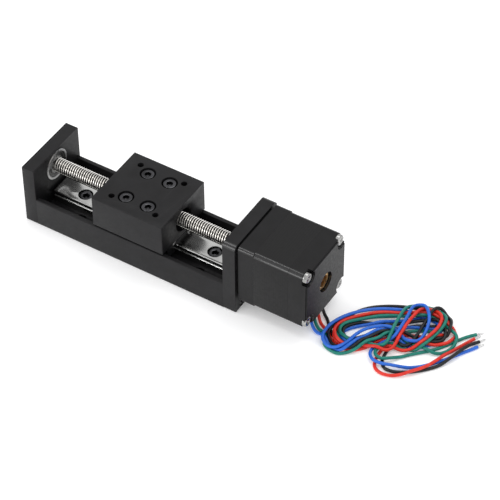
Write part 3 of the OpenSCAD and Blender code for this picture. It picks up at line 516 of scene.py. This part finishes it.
def curveThrough(points, step):
    # Points every step mm along a smooth line through the given ones.
    p = np.array(points, float)
    p = np.vstack([2 * p[0] - p[1], p, 2 * p[-1] - p[-2]])
    fine = []
    for i in range(1, len(p) - 2):
        gaps = [max(1e-6, np.linalg.norm(p[i + k] - p[i + k - 1])) ** 0.5 for k in (0, 1, 2)]
        t0, t1, t2, t3 = 0, gaps[0], gaps[0] + gaps[1], sum(gaps)
        for t in np.linspace(t1, t2, leadChoices["fineSteps"], endpoint=False):
            a1 = (t1 - t) / (t1 - t0) * p[i - 1] + (t - t0) / (t1 - t0) * p[i]
            a2 = (t2 - t) / (t2 - t1) * p[i] + (t - t1) / (t2 - t1) * p[i + 1]
            a3 = (t3 - t) / (t3 - t2) * p[i + 1] + (t - t2) / (t3 - t2) * p[i + 2]
            b1 = (t2 - t) / (t2 - t0) * a1 + (t - t0) / (t2 - t0) * a2
            b2 = (t3 - t) / (t3 - t1) * a2 + (t - t1) / (t3 - t1) * a3
            fine.append((t2 - t) / (t2 - t1) * b1 + (t - t1) / (t2 - t1) * b2)
    fine.append(p[-2])
    fine = np.array(fine)
    run = np.r_[0, np.cumsum(np.linalg.norm(np.diff(fine, axis=0), axis=1))]
    at = np.linspace(0, run[-1], max(2, int(round(run[-1] / step)) + 1))
    return np.column_stack([np.interp(at, run, fine[:, k]) for k in range(3)])


def closeSpans(p, spans, owner, choice):
    # Pairs of short spans that lie close enough to touch, apart from neighbours on one lead.
    batch = choice["batch"]
    middle = (p[spans] + p[spans + 1]) / 2
    first, second = [], []
    for start in range(0, len(spans), batch):
        away = ((middle[start:start + batch, None] - middle[None]) ** 2).sum(2)
        i, j = np.nonzero(away < choice["reach"] ** 2)
        i = i + start
        keep = (i < j) & ((owner[spans[i]] != owner[spans[j]]) | (j - i > choice["neighbours"]))
        first.append(spans[i[keep]])
        second.append(spans[j[keep]])
    return np.concatenate(first), np.concatenate(second)


def nearestGap(p, first, second):
    # Where two spans come nearest: the shares along each, and the gap between those places.
    one, two, apart = p[first + 1] - p[first], p[second + 1] - p[second], p[first] - p[second]
    aa, bb, ee = (one * one).sum(1), (one * two).sum(1), (two * two).sum(1)
    cc, ff = (one * apart).sum(1), (two * apart).sum(1)
    s = np.clip((bb * ff - cc * ee) / np.maximum(aa * ee - bb * bb, 1e-6), 0, 1)
    t = np.clip((bb * s + ff) / ee, 0, 1)
    s = np.clip((bb * t - cc) / aa, 0, 1)
    return s, t, apart + one * s[:, None] - two * t[:, None]


def settleLeads(lines, held, rounds):
    # Pushes the leads apart where they touch, keeps their bends round, and lets them come to rest.
    choice = leadChoices["settle"]
    d = leadChoices["diameter"]
    size = [len(line) for line in lines]
    owner = np.repeat(np.arange(len(lines)), size)
    fixed = np.concatenate(held)
    p = np.vstack(lines)
    goal = p.copy()
    spans = np.flatnonzero(owner[:-1] == owner[1:])
    inner = np.r_[False, (owner[:-2] == owner[1:-1]) & (owner[1:-1] == owner[2:]), False]
    for count in range(rounds):
        if count % choice["lookEvery"] == 0:
            first, second = closeSpans(p, spans, owner, choice)
        late = 1 if count > rounds * choice["lateFrom"] else 0
        s, t, gap = nearestGap(p, first, second)
        dist = np.sqrt((gap ** 2).sum(1)) + 1e-9
        if count < rounds * choice["sortUntil"]:  # the lead that is meant to lie on top goes up
            gap[:, 2] += np.clip(goal[first, 2] - goal[second, 2], -1, 1) * choice["sort"]
            gap *= (dist / (np.sqrt((gap ** 2).sum(1)) + 1e-9))[:, None]
        amount = np.clip(d * choice["clearance"] - dist, 0, None) * 0.5 / dist
        push, weight = np.zeros_like(p), np.zeros(len(p))
        ends = ((first, 1 - s, 1), (first + 1, s, 1), (second, 1 - t, -1), (second + 1, t, -1))
        for index, share, sign in ends:
            used = share * (amount > 0)
            for k in range(3):
                push[:, k] += np.bincount(index, sign * gap[:, k] * amount * used, len(p))
            weight += np.bincount(index, used, len(p))
        push /= np.maximum(weight, choice["leastWeight"])[:, None]
        bend, change, along = np.zeros_like(p), np.zeros_like(p), np.zeros_like(p)
        bend[1:-1] = (p[:-2] + p[2:]) / 2 - p[1:-1]
        bend[~inner] = 0
        change[1:-1] = (bend[:-2] + bend[2:]) / 2 - bend[1:-1]
        change[~inner] = 0
        along[1:-1] = p[2:] - p[:-2]
        along /= np.linalg.norm(along, axis=1)[:, None] + 1e-9
        even = along * (bend * along).sum(1)[:, None]
        tight = (np.linalg.norm(bend, axis=1) - choice["tightFrom"]) / choice["tightOver"]
        tight = np.clip(tight, 0, 1)[:, None]
        move = push + bend * (choice["relax"][late] + choice["straighten"] * tight) + even * choice["even"]
        move -= change * choice["stiffness"][late]
        move += (goal - p) * choice["pull"][late] * (1, 1, choice["pullDown"])
        move[:, 2] -= choice["sink"]
        move[fixed] = 0
        p = p + move
        p[~fixed, 2] = np.clip(p[~fixed, 2], d / 2, choice["highest"])
        p[~fixed, 1] = np.minimum(p[~fixed, 1], choice["farthest"])
    return np.split(p, np.cumsum(size)[:-1])


def makeLeads():
    step = leadChoices["spacing"]
    lines, held, colours = [], [], list(leadColours)
    for colour in colours:
        first = leadChoices["starts"][colour]
        last = leadChoices["tails"][colour]
        through = [hankPoint(*spot) for spot in leadChoices["routes"][colour]]
        line = curveThrough(first + through + last, step)
        run = np.r_[0, np.cumsum(np.linalg.norm(np.diff(line, axis=0), axis=1))]
        firstLength = sum(math.dist(a, b) for a, b in zip(first, first[1:]))
        lastLength = sum(math.dist(a, b) for a, b in zip(last, last[1:]))
        lines.append(line)
        held.append((run < firstLength - 1) | (run > run[-1] - lastLength + 1))
    rounds = leadChoices["settle"]["rounds"] // 1
    lines = settleLeads(lines, held, rounds)
    for line in lines:  # the held ends too stay on the floor
        line[:, 2] = np.maximum(line[:, 2], leadChoices["diameter"] / 2)
    laid = {}
    for colour, line in zip(colours, lines):
        data = bpy.data.curves.new("lead_" + colour, "CURVE")
        data.dimensions = "3D"
        data.bevel_depth = leadChoices["diameter"] / 2 * mm
        data.bevel_resolution = 4
        spline = data.splines.new("POLY")
        spline.points.add(len(line) - 1)
        for point, place in zip(spline.points, line):
            point.co = (rearX + place[0] * mm, place[1] * mm, place[2] * mm, 1)
        spline.use_smooth = True
        piece = newObject("lead_" + colour, data)
        data.materials.append(finishes["lead_" + colour])
        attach(piece, "base")
        stands = ["lead_%s_start" % colour, "lead_%s_tail" % colour]
        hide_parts(*(stands + (["lead_hank"] if colour == "blue" else [])))
        length = float(np.linalg.norm(np.diff(line, axis=0), axis=1).sum())
        leave = tuple(spline.points[0].co)[:3]
        laid[colour] = {"piece": piece, "line": line, "length": length, "exit": leave}
        print("lead", colour, round(length, 1), "mm long")
    return laid


leads = makeLeads()
print("leads laid")


# bare ends: twisted, tinned strands, in mm
tinnedEnd = {
    "strands": 7,
    "strand": 0.13,  # radius of one
    "bundle": 0.25,  # from the middle of the end to a strand's middle, about
    "bare": 3.0,
    "hidden": 0.4,  # inside the insulation
    "lay": 2.4,
    "droop": 0.087,
    "uneven": 0.25,  # how differently the strands are cut off
    "steps": 14,
    "sides": 8,
}


def makeStrand(choice, s, tip, ahead, side, up):
    steps, sides = choice["steps"], choice["sides"]
    far = 0 if s == 0 else choice["bundle"] - choice["strand"] * 0.1
    cut = -choice["uneven"] * (1 + math.sin(2.3 * s))
    points = []
    for i in range(steps + 1):
        long = choice["bare"] + choice["hidden"] + (cut if i == steps else 0)
        t = -choice["hidden"] + long * i / steps
        turn = 2 * math.pi * (s / 6 + t / choice["lay"])
        spot = tip + ahead * t + (side * math.cos(turn) + up * math.sin(turn)) * far
        r = choice["strand"] * (0.6 if i == steps else 1)
        for k in range(sides):
            a = 2 * math.pi * k / sides
            q = spot + (side * math.cos(a) + up * math.sin(a)) * r
            points.append(Vector((rearX + q[0] * mm, q[1] * mm, q[2] * mm)))
    return points, tubeFaces(steps + 1, sides)


def makeTinnedEnds(choice):
    parts = []
    for lead in leads.values():
        tip = lead["line"][-1]
        ahead = tip - lead["line"][-3]
        ahead = ahead / np.linalg.norm(ahead)
        ahead = np.array([ahead[0], ahead[1], -choice["droop"]])
        ahead = ahead / np.linalg.norm(ahead)
        side = np.cross(ahead, (0, 0, 1))
        side /= np.linalg.norm(side)
        up = np.cross(side, ahead)
        parts += [makeStrand(choice, s, tip, ahead, side, up) for s in range(choice["strands"])]
    mesh = meshFrom("tinned_ends_stranded", *joined(parts))
    return newPiece("tinned_ends_stranded", mesh, "base", "tinned_copper", ["tinned_ends"])


tinnedEnds = makeTinnedEnds(tinnedEnd)
print("tinned ends twisted")


# machined pieces with broken edges
motorCorners = {  # in mm
    "cut": {"motor_front_cap": 2.2, "stator_stack": 2.3, "motor_rear_cap": 2.3},  # as the solids have it
    "flat": 1.4,  # as it is made here
    "ease": 0.65,
    "spare": 0.01,  # play in finding the points of the cut
    "near": 2,  # long edges within this of the square corner are eased
    "turned": 0.12,  # how far a face turns away from the sides before its coat shines
}
edgeShape = {
    "weld": 0.002,  # mm
    "flatAngle": 0.6,  # degrees, below which faces are joined into one
    "sharpAngle": 28,  # from which an edge is broken
    "smoothAngle": 24,  # from which an edge is shaded sharp
    "profile": 0.6,
}
edgeBreaks = {  # node: (edge width in mm, finish)
    "base_channel": (0.16, "channelBlack"), "end_plate": (0.2, "black_anodised"),
    "motor_plate": (0.2, "black_anodised"), "slide_table": (0.22, "black_anodised"),
    "motor_front_cap": (0.2, "capBlack"), "motor_rear_cap": (0.2, "capBlack"),
    "stator_stack": (0.08, "laminations"), "guide_rail": (0.12, "ground_steel"),
    "guide_block": (0.14, "ground_steel"), "block_cap_free": (0.14, "black_plastic"),
    "block_cap_motor": (0.14, "black_plastic"), "block_seals": (0.1, "black_plastic"),
    "ball_nut": (0.1, "ringSteel"), "lead_bush": (0.15, "black_plastic"),
}


def sharpEdges(work):
    limit = math.radians(edgeShape["sharpAngle"])
    return [e for e in work.edges if len(e.link_faces) == 2 and e.calc_face_angle(0) > limit]


def bevelEdges(work, edges, width, segments=2):
    bmesh.ops.bevel(work, geom=edges, offset=width * mm, segments=segments, affect="EDGES",
                    profile=edgeShape["profile"], clamp_overlap=True, miter_outer="SHARP", loop_slide=True)


def narrowCorners(work, low, high, cut):
    # The motor's four long corners are cut less than in the solid, and rounded more than its other edges.
    half = (high[1] - low[1]) / 2
    middle = (low[2] + high[2]) / 2
    start = 2 * half - (cut + motorCorners["spare"]) * mm
    share = motorCorners["flat"] / cut
    for v in work.verts:
        across, up = abs(v.co.y), abs(v.co.z - middle)
        if across + up > start:
            v.co.y = math.copysign(half - (half - across) * share, v.co.y)
            v.co.z = middle + math.copysign(half - (half - up) * share, v.co.z - middle)
    start = 2 * half - motorCorners["near"] * mm
    long = [e for e in sharpEdges(work) if abs((e.verts[0].co - e.verts[1].co).normalized().x) > 0.99]
    corner = [e for e in long if all(abs(v.co.y) + abs(v.co.z - middle) > start for v in e.verts)]
    bevelEdges(work, corner, motorCorners["ease"], 3)


def shineCorners(mesh):
    # The coat is smoother on the faces that turn from the sides to the top.
    mesh.materials.append(finishes["cornerBlack"])
    for face in mesh.polygons:
        side = min(abs(face.normal.y), abs(face.normal.z))
        if abs(face.normal.x) < 0.1 and side > motorCorners["turned"]:
            face.material_index = 1


def breakEdges(node, width, finish):
    # A copy of the node's solid with a small round on each sharp edge.
    work = bmesh.new()
    work.from_mesh(nodes[node].data)
    bmesh.ops.remove_doubles(work, verts=work.verts, dist=edgeShape["weld"] * mm)
    flat = math.radians(edgeShape["flatAngle"])
    bmesh.ops.dissolve_limit(work, angle_limit=flat, verts=work.verts, edges=work.edges)
    if node in motorCorners["cut"]:
        narrowCorners(work, *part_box(node), motorCorners["cut"][node])
    bevelEdges(work, sharpEdges(work), width)
    mesh = bpy.data.meshes.new(node + "_eased")
    work.to_mesh(mesh)
    work.free()
    mesh.shade_smooth()
    mesh.set_sharp_from_angle(angle=math.radians(edgeShape["smoothAngle"]))
    newPiece(node + "_eased", mesh, bodyOf(node), finish, [node])
    if node in motorCorners["cut"] or node == "motor_plate":
        shineCorners(mesh)


for node, (width, finish) in edgeBreaks.items():
    breakEdges(node, width, finish)
print("edges broken on", len(edgeBreaks), "pieces")


sleeveChoice = {"reach": 0.7, "end": 0.1}  # in mm


def makeSleeve(choice):
    # The hollow shaft's rear end shows in the hole of the rear cap, a little further out than the solid's.
    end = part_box("rotor_sleeve")[1][0]
    mesh = nodes["rotor_sleeve"].data.copy()
    for v in mesh.vertices:
        if v.co.x > end - choice["end"] * mm:
            v.co.x += choice["reach"] * mm
    mesh.shade_smooth()
    mesh.set_sharp_from_angle(angle=math.radians(edgeShape["smoothAngle"]))
    newPiece("rotor_sleeve_turned", mesh, "drive", "brass", ["rotor_sleeve"])


makeSleeve(sleeveChoice)
print("sleeve made")


# ball screw with its rolled thread
threadChoice = {  # in mm; journal and shank are (place along the screw, radius)
    "lead": 1.0, "crest": 2.9, "groove": 0.43, "grooveCentre": 2.98,
    "from": -42.9, "to": 46.3, "crestRise": 0.012, "grooveSteps": 8, "sides": 56, "endSides": 48,
    "journal": ((-48.2, 1.25), (-48.2, 1.7), (-47.95, 1.97), (-43, 1.97), (-43, 2.3), (-42.88, 2.5),
                (-42.7, 2.5)),
    "shank": ((46.1, 2.5), (47.5, 2.5), (47.6, 2.48), (73.2, 2.48), (73.5, 2.2), (73.5, 0.9), (72.9, 0.3)),
}


def makeBallScrew(choice):
    lead, sides = choice["lead"], choice["sides"]
    deep = choice["grooveCentre"] - choice["crest"]
    half = math.sqrt(choice["groove"] ** 2 - deep ** 2)  # half width of the groove at the crest
    profile = []
    for k in range(choice["grooveSteps"] + 1):
        x = -half + 2 * half * k / choice["grooveSteps"]
        profile.append((x, choice["grooveCentre"] - math.sqrt(choice["groove"] ** 2 - x * x)))
    flat = lead - 2 * half
    top = choice["crest"] + choice["crestRise"]
    profile += [(half + flat * 0.33, top), (half + flat * 0.66, top)]
    # A few turns more than needed, cut off at both ends below.
    turns = int(math.ceil((choice["to"] - choice["from"]) / lead)) + 3
    startX = choice["from"] - 1.5 * lead
    count = len(profile)
    points = []
    for k in range(sides):
        angle = 2 * math.pi * k / sides
        for turn in range(turns):
            for x, r in profile:
                at = math.floor(startX) + lead * (turn + k / sides) + x
                points.append((at * mm, r * math.cos(angle) * mm, axisZ + r * math.sin(angle) * mm))
    row = turns * count
    faces = []
    for k in range(sides):
        for i in range(row - 1):
            if k + 1 < sides:
                faces.append((k * row + i, k * row + i + 1, (k + 1) * row + i + 1, (k + 1) * row + i))
            elif i + count + 1 < row:  # the last side meets the first one turn on
                faces.append((k * row + i, k * row + i + 1, i + count + 1, i + count))
    work = bmesh.new()
    verts = [work.verts.new(p) for p in points]
    for face in faces:
        work.faces.new([verts[i] for i in face])
    for x, way in ((choice["from"], -1), (choice["to"], 1)):
        geometry = work.verts[:] + work.edges[:] + work.faces[:]
        bmesh.ops.bisect_plane(work, geom=geometry, dist=1e-7, plane_co=(x * mm, 0, 0),
                               plane_no=(way, 0, 0), clear_outer=True)
    loose = [v for v in work.verts if not v.link_faces]
    bmesh.ops.delete(work, geom=loose, context="VERTS")
    edges = [e for e in work.edges if e.is_boundary]
    bmesh.ops.holes_fill(work, edges=edges, sides=0)
    bmesh.ops.recalc_face_normals(work, faces=work.faces)
    thread = bpy.data.meshes.new("thread")
    work.to_mesh(thread)
    work.free()
    threadPoints = [v.co.copy() for v in thread.vertices]
    threadFaces = [tuple(f.vertices) for f in thread.polygons]
    plain = [lathe(scaled(choice[end]), choice["endSides"], (0, 0, axisZ), (1, 0, 0))
             for end in ("journal", "shank")]
    mesh = meshFrom("ball_screw_threaded", *joined([(threadPoints, threadFaces)] + plain), sharp=50)
    newPiece("ball_screw_threaded", mesh, "drive", "threadSteelGrooveShaded", ["ball_screw"])


makeBallScrew(threadChoice)
print("screw threaded")


# balls of the nut, set along the valley of the thread
nutRows = {"starts": (-5.0, -1.0, 3.0), "balls": 20, "ball": 0.4}


def ballMesh(places, radius, rings=9, sides=14):
    turns = [math.pi * (i + 0.25) / (rings - 0.5) for i in range(rings)]
    profile = [(-radius * math.cos(turn), max(0.02 * radius, radius * math.sin(turn))) for turn in turns]
    return joined([lathe(scaled(profile), sides, place, (0, 0.3, 1)) for place in places])


def makeNutBalls(choice):
    places = []
    circle = threadChoice["grooveCentre"] * mm
    for x in choice["starts"]:
        for k in range(choice["balls"]):
            turn = 2 * math.pi * k / choice["balls"]
            places.append(Vector(((x + k / choice["balls"]) * mm, circle * math.cos(turn),
                                  axisZ + circle * math.sin(turn))))
    mesh = meshFrom("nut_balls_in_thread", *ballMesh(places, choice["ball"]), sharp=60)
    newPiece("nut_balls_in_thread", mesh, "carriage", "ball_steel", ["nut_balls"])


makeNutBalls(nutRows)
print("nut balls set in the thread")


# pressed shields of the free end's bearing: (height, radius) from the hidden side, all in mm
shieldChoice = {
    "profile": [(0, 5.62), (0.33, 5.62), (0.33, 5.5), (0.18, 5.42), (0.18, 5.08), (0.33, 4.98), (0.33, 4.8),
                (0.18, 4.7), (0.18, 4.14), (0.34, 4.04), (0.34, 3.8), (0, 3.8)],
    "thick": 0.35,
    "sides": 96,
}


def turnedRing(rings, sides, place, axis):
    # A ring closed on its own inside, without ends.
    points, faces = lathe(rings, sides, place, axis)
    last = (len(rings) - 1) * sides
    faces = faces[:-2] + [(last + k, last + (k + 1) % sides, (k + 1) % sides, k) for k in range(sides)]
    return points, faces


def makeShields(choice):
    low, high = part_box("free_bearing_shields")
    parts = [turnedRing(scaled(choice["profile"]), choice["sides"], (x, 0, axisZ), (way, 0, 0))
             for x, way in ((low.x + choice["thick"] * mm, -1), (high.x - choice["thick"] * mm, 1))]
    mesh = meshFrom("free_bearing_shields_pressed", *joined(parts), sharp=30)
    newPiece("free_bearing_shields_pressed", mesh, bodyOf("free_bearing_shields"),
             "shieldSteel", ["free_bearing_shields"])


makeShields(shieldChoice)
print("shields pressed")


# screws
screwShape = {  # in mm, and shares of the thread's pitch
    "sides": 48, "headEase": 0.32, "foot": 0.08, "lip": 0.16, "lipDeep": 0.12, "drillPoint": 0.16,
    "pitch": 0.5, "crestShare": 0.35, "rootShare": 0.6, "threadDeep": 0.16, "threadStart": 0.2,
    "threadEnd": 0.6, "neck": 0.35, "tip": 0.3, "slack": 0.01, "weld": 0.001,
}
panShape = {  # recess: (depth, half length, half width) of the cross
    "sides": 96, "foot": 0.1, "footHigh": 0.12, "dome": 0.48, "round": 0.62, "steps": 5,
    "recess": ((0, 1.25, 0.42), (0.1, 1.12, 0.28), (0.65, 0.62, 0.2), (1.0, 0.12, 0.1)),
}
capScrewChoices = {  # node: (piece, way of the heads, thread, length, head, its height, key, its depth)
    "table_screws": ("table_screws_m3", (0, 0, 1), 2.98, 14, 5.15, 3, 2.5, 1.7),
    "rail_screws": ("rail_screws_m3", (0, 0, 1), 2.98, 6, 5.35, 3, 2.5, 1.7),
    "end_plate_screws": ("end_plate_screws_m2", (-1, 0, 0), 1.98, 10, 3.8, 2, 1.5, 1.1),
    "motor_plate_screws": ("motor_plate_screws_m2", (1, 0, 0), 1.98, 10, 3.8, 2, 1.5, 1.1),
    "motor_mount_screws": ("motor_mount_screws_m25", (-1, 0, 0), 2.48, 5, 4.5, 2.5, 2, 1.3),
    "nut_screws": ("nut_screws_m2", (-1, 0, 0), 1.98, 7, 3.6, 1.2, 1.3, 0.7),
}
endScrewChoices = {  # node: (piece, finish, thread, head, its height, and for a socket its key and depth)
    "block_cap_screws": ("block_cap_screws_m16", "sheet_steel", 1.58, 2.4, 0.6, 1, 0.4),
    "motor_long_screws": ("motor_long_screws_m25", "screwNickel", 2.48, 4.5, 1.7),
}


def hexRadius(apothem):
    def radius(turn):
        return apothem / math.cos((turn % (math.pi / 3)) - math.pi / 6)
    return radius


def socketScrew(place, axis, d, length, headD, headH, key, deep):
    # A cap screw with the underside of its head at the place and its head along the axis.
    shape = screwShape
    outer, ease, pitch = d / 2 - shape["slack"], shape["headEase"], shape["pitch"]
    rings = [(-length, d / 2 - shape["tip"])]
    z = -length + shape["threadStart"]
    while z < -shape["threadEnd"]:
        rings += [(z, outer), (z + pitch * shape["crestShare"], outer)]
        rings += [(z + pitch * shape["rootShare"], d / 2 - shape["threadDeep"])]
        z += pitch
    rings += [(-shape["neck"], outer), (0, outer), (0, headD / 2 - shape["foot"]), (shape["foot"], headD / 2)]
    rings += [(headH - ease, headD / 2), (headH - ease * 0.3, headD / 2 - ease * 0.3)]
    rings += [(headH, headD / 2 - ease), (headH, key / math.sqrt(3) + shape["lip"])]
    rings += [(headH - shape["lipDeep"], hexRadius(key / 2)), (headH - deep, hexRadius(key / 2))]
    rings += [(headH - deep - key * shape["drillPoint"], 0.05)]
    return lathe(scaled(rings), shape["sides"], place, axis)


def crossRadius(arm, half):
    def radius(turn):
        c, s = abs(math.cos(turn)) + 1e-9, abs(math.sin(turn)) + 1e-9
        return max(min(arm / c, half / s), min(half / c, arm / s))
    return radius


def panScrew(place, axis, d, length, headD, headH):
    # A pan head screw with a cross recess.
    shape = panShape
    outer = d / 2 - screwShape["slack"]
    rings = [(-length, d / 2 - screwShape["tip"]), (-length + screwShape["tip"], outer), (0, outer)]
    rings += [(0, headD / 2 - shape["foot"]), (shape["footHigh"], headD / 2)]
    for k in range(1, shape["steps"] + 1):
        a = k / shape["steps"] * math.pi / 2
        high = headH * (1 - shape["dome"]) + headH * shape["dome"] * math.sin(a)
        rings.append((high, headD / 2 - shape["round"] * (1 - math.cos(a))))
    rings += [(headH - down, crossRadius(arm, half)) for down, arm, half in shape["recess"]]
    return lathe(scaled(rings), shape["sides"], place, axis)


def screwSet(name, node, finish, parts):
    mesh = meshFrom(name, *joined(parts), sharp=32)
    newPiece(name, mesh, bodyOf(node), finish, [node])


def screwBoxes(node):
    # The low and high corner of each separate screw in the node.
    work = bmesh.new()
    work.from_mesh(nodes[node].data)
    bmesh.ops.remove_doubles(work, verts=work.verts, dist=screwShape["weld"] * mm)
    left, found = set(work.verts), []
    while left:
        stack, group = [left.pop()], []
        while stack:
            v = stack.pop()
            group.append(v.co.copy())
            for e in v.link_edges:
                o = e.other_vert(v)
                if o in left:
                    left.discard(o)
                    stack.append(o)
        low = Vector([min(c[k] for c in group) for k in range(3)])
        high = Vector([max(c[k] for c in group) for k in range(3)])
        found.append((low, high))
    work.free()
    return sorted(found, key=lambda b: (round(b[0].x, 4), round(b[0].y, 4), round(b[0].z, 4)))


def makeCapScrews(node, name, axis, *sizes):
    # Socket screws in the places of the node's solids; axis is the way their heads point.
    way, headH = Vector(axis), sizes[3]
    parts = []
    for low, high in screwBoxes(node):
        middle = (low + high) / 2
        top = Vector([high[k] if way[k] > 0 else low[k] if way[k] < 0 else middle[k] for k in range(3)])
        parts.append(socketScrew(top - way * headH * mm, way, *sizes))
    screwSet(name, node, "black_oxide", parts)


def makeEndScrews(node, name, finish, d, headD, headH, *socket):
    # Screws along the module, as long as the node's solids; those without a socket get a pan head.
    make = socketScrew if socket else panScrew
    parts = []
    for low, high in screwBoxes(node):
        middle = (low + high) / 2
        way = Vector((1 if middle.x > 0 else -1, 0, 0))
        top = Vector((high.x if way.x > 0 else low.x, middle.y, middle.z))
        length = (high.x - low.x) / mm - headH
        parts.append(make(top - way * headH * mm, way, d, length, headD, headH, *socket))
    screwSet(name, node, finish, parts)


for node, choice in capScrewChoices.items():
    makeCapScrews(node, *choice)
for node, choice in endScrewChoices.items():
    makeEndScrews(node, *choice)
print("screws made")


# finishes for the nodes that keep their own mesh
keptFinish = {"motor_bearing_shields": "shieldSteel"}
for bearing in ("free", "front", "rear"):
    for ring in ("outer", "inner"):
        keptFinish["%s_bearing_%s" % (bearing, ring)] = "ringSteel"


def dressNodes():
    for name, thing in nodes.items():
        finish = finishes[keptFinish.get(name, slotOf[name])]
        if not thing.data.materials:
            thing.data.materials.append(finish)
        for k in range(len(thing.data.materials)):
            thing.data.materials[k] = finish


dressNodes()
print("nodes dressed")


# floor and light
lightChoice = {
    "floor": (0.9, 0.9, 0.905), "floorRough": 0.75, "floorGloss": 0.2,
    "floorHalf": 3.0,  # metres
    "floorDrop": 0.05,  # mm below the channel
    "glow": 0.2, "sky": 1.0, "horizon": 0.8, "skyFrom": 0.6,
    "lamps": {  # place and aim in metres, size, watts
        "topSoftbox": ((0.1, 0.25, 0.9), (0.02, 0, 0), 0.5, 1.4),
        "rightSoftbox": ((0.9, -0.1, 0.35), (0.05, 0, 0.02), 0.4, 0.25),
        "frontStrip": ((-0.37, -0.98, 0.31), (0.06, 0, 0.02), 0.4, 2.8),
        "upperStrip": ((-0.35, -0.16, 0.93), (0.06, 0, 0.02), 0.2, 1.0),
    },
}


def makeFloor():
    mesh = bpy.data.meshes.new("studio_floor")
    half = lightChoice["floorHalf"]
    low = -lightChoice["floorDrop"] * mm
    corners = [(-half, -half, low), (half, -half, low), (half, half, low), (-half, half, low)]
    mesh.from_pydata(corners, [], [(0, 1, 2, 3)])
    finish, tree, shader = newFinish("paleFloor", lightChoice["floor"], 0, lightChoice["floorRough"])
    shader.inputs["Specular IOR Level"].default_value = lightChoice["floorGloss"]
    shader.inputs["Emission Color"].default_value = (1, 1, 1, 1)
    shader.inputs["Emission Strength"].default_value = lightChoice["glow"]  # a lit table
    mesh.materials.append(finish)
    newObject("studio_floor", mesh)


def makeLight():
    world = bpy.data.worlds.new("studio")
    bpy.context.scene.world = world
    world.use_nodes = True
    tree = world.node_tree
    back = tree.nodes["Background"]
    place = tree.nodes.new("ShaderNodeTexCoord")
    apart = tree.nodes.new("ShaderNodeSeparateXYZ")
    tree.links.new(place.outputs["Generated"], apart.inputs["Vector"])
    height = apart.outputs["Z"]
    level = spread(tree, height, lightChoice["horizon"], lightChoice["sky"], 0, lightChoice["skyFrom"])
    tree.links.new(level, back.inputs["Strength"])
    back.inputs["Color"].default_value = (1, 1, 1, 1)
    for name, (spot, aim, size, watts) in lightChoice["lamps"].items():
        lamp = bpy.data.lights.new(name, "AREA")
        lamp.shape = "SQUARE"
        lamp.size = size
        lamp.energy = watts
        thing = newObject(name, lamp)
        thing.location = spot
        thing.rotation_euler = (Vector(aim) - Vector(spot)).to_track_quat("-Z", "Y").to_euler()


makeFloor()
makeLight()
bpy.context.scene.view_settings.view_transform = "Standard"
print("floor and light made")
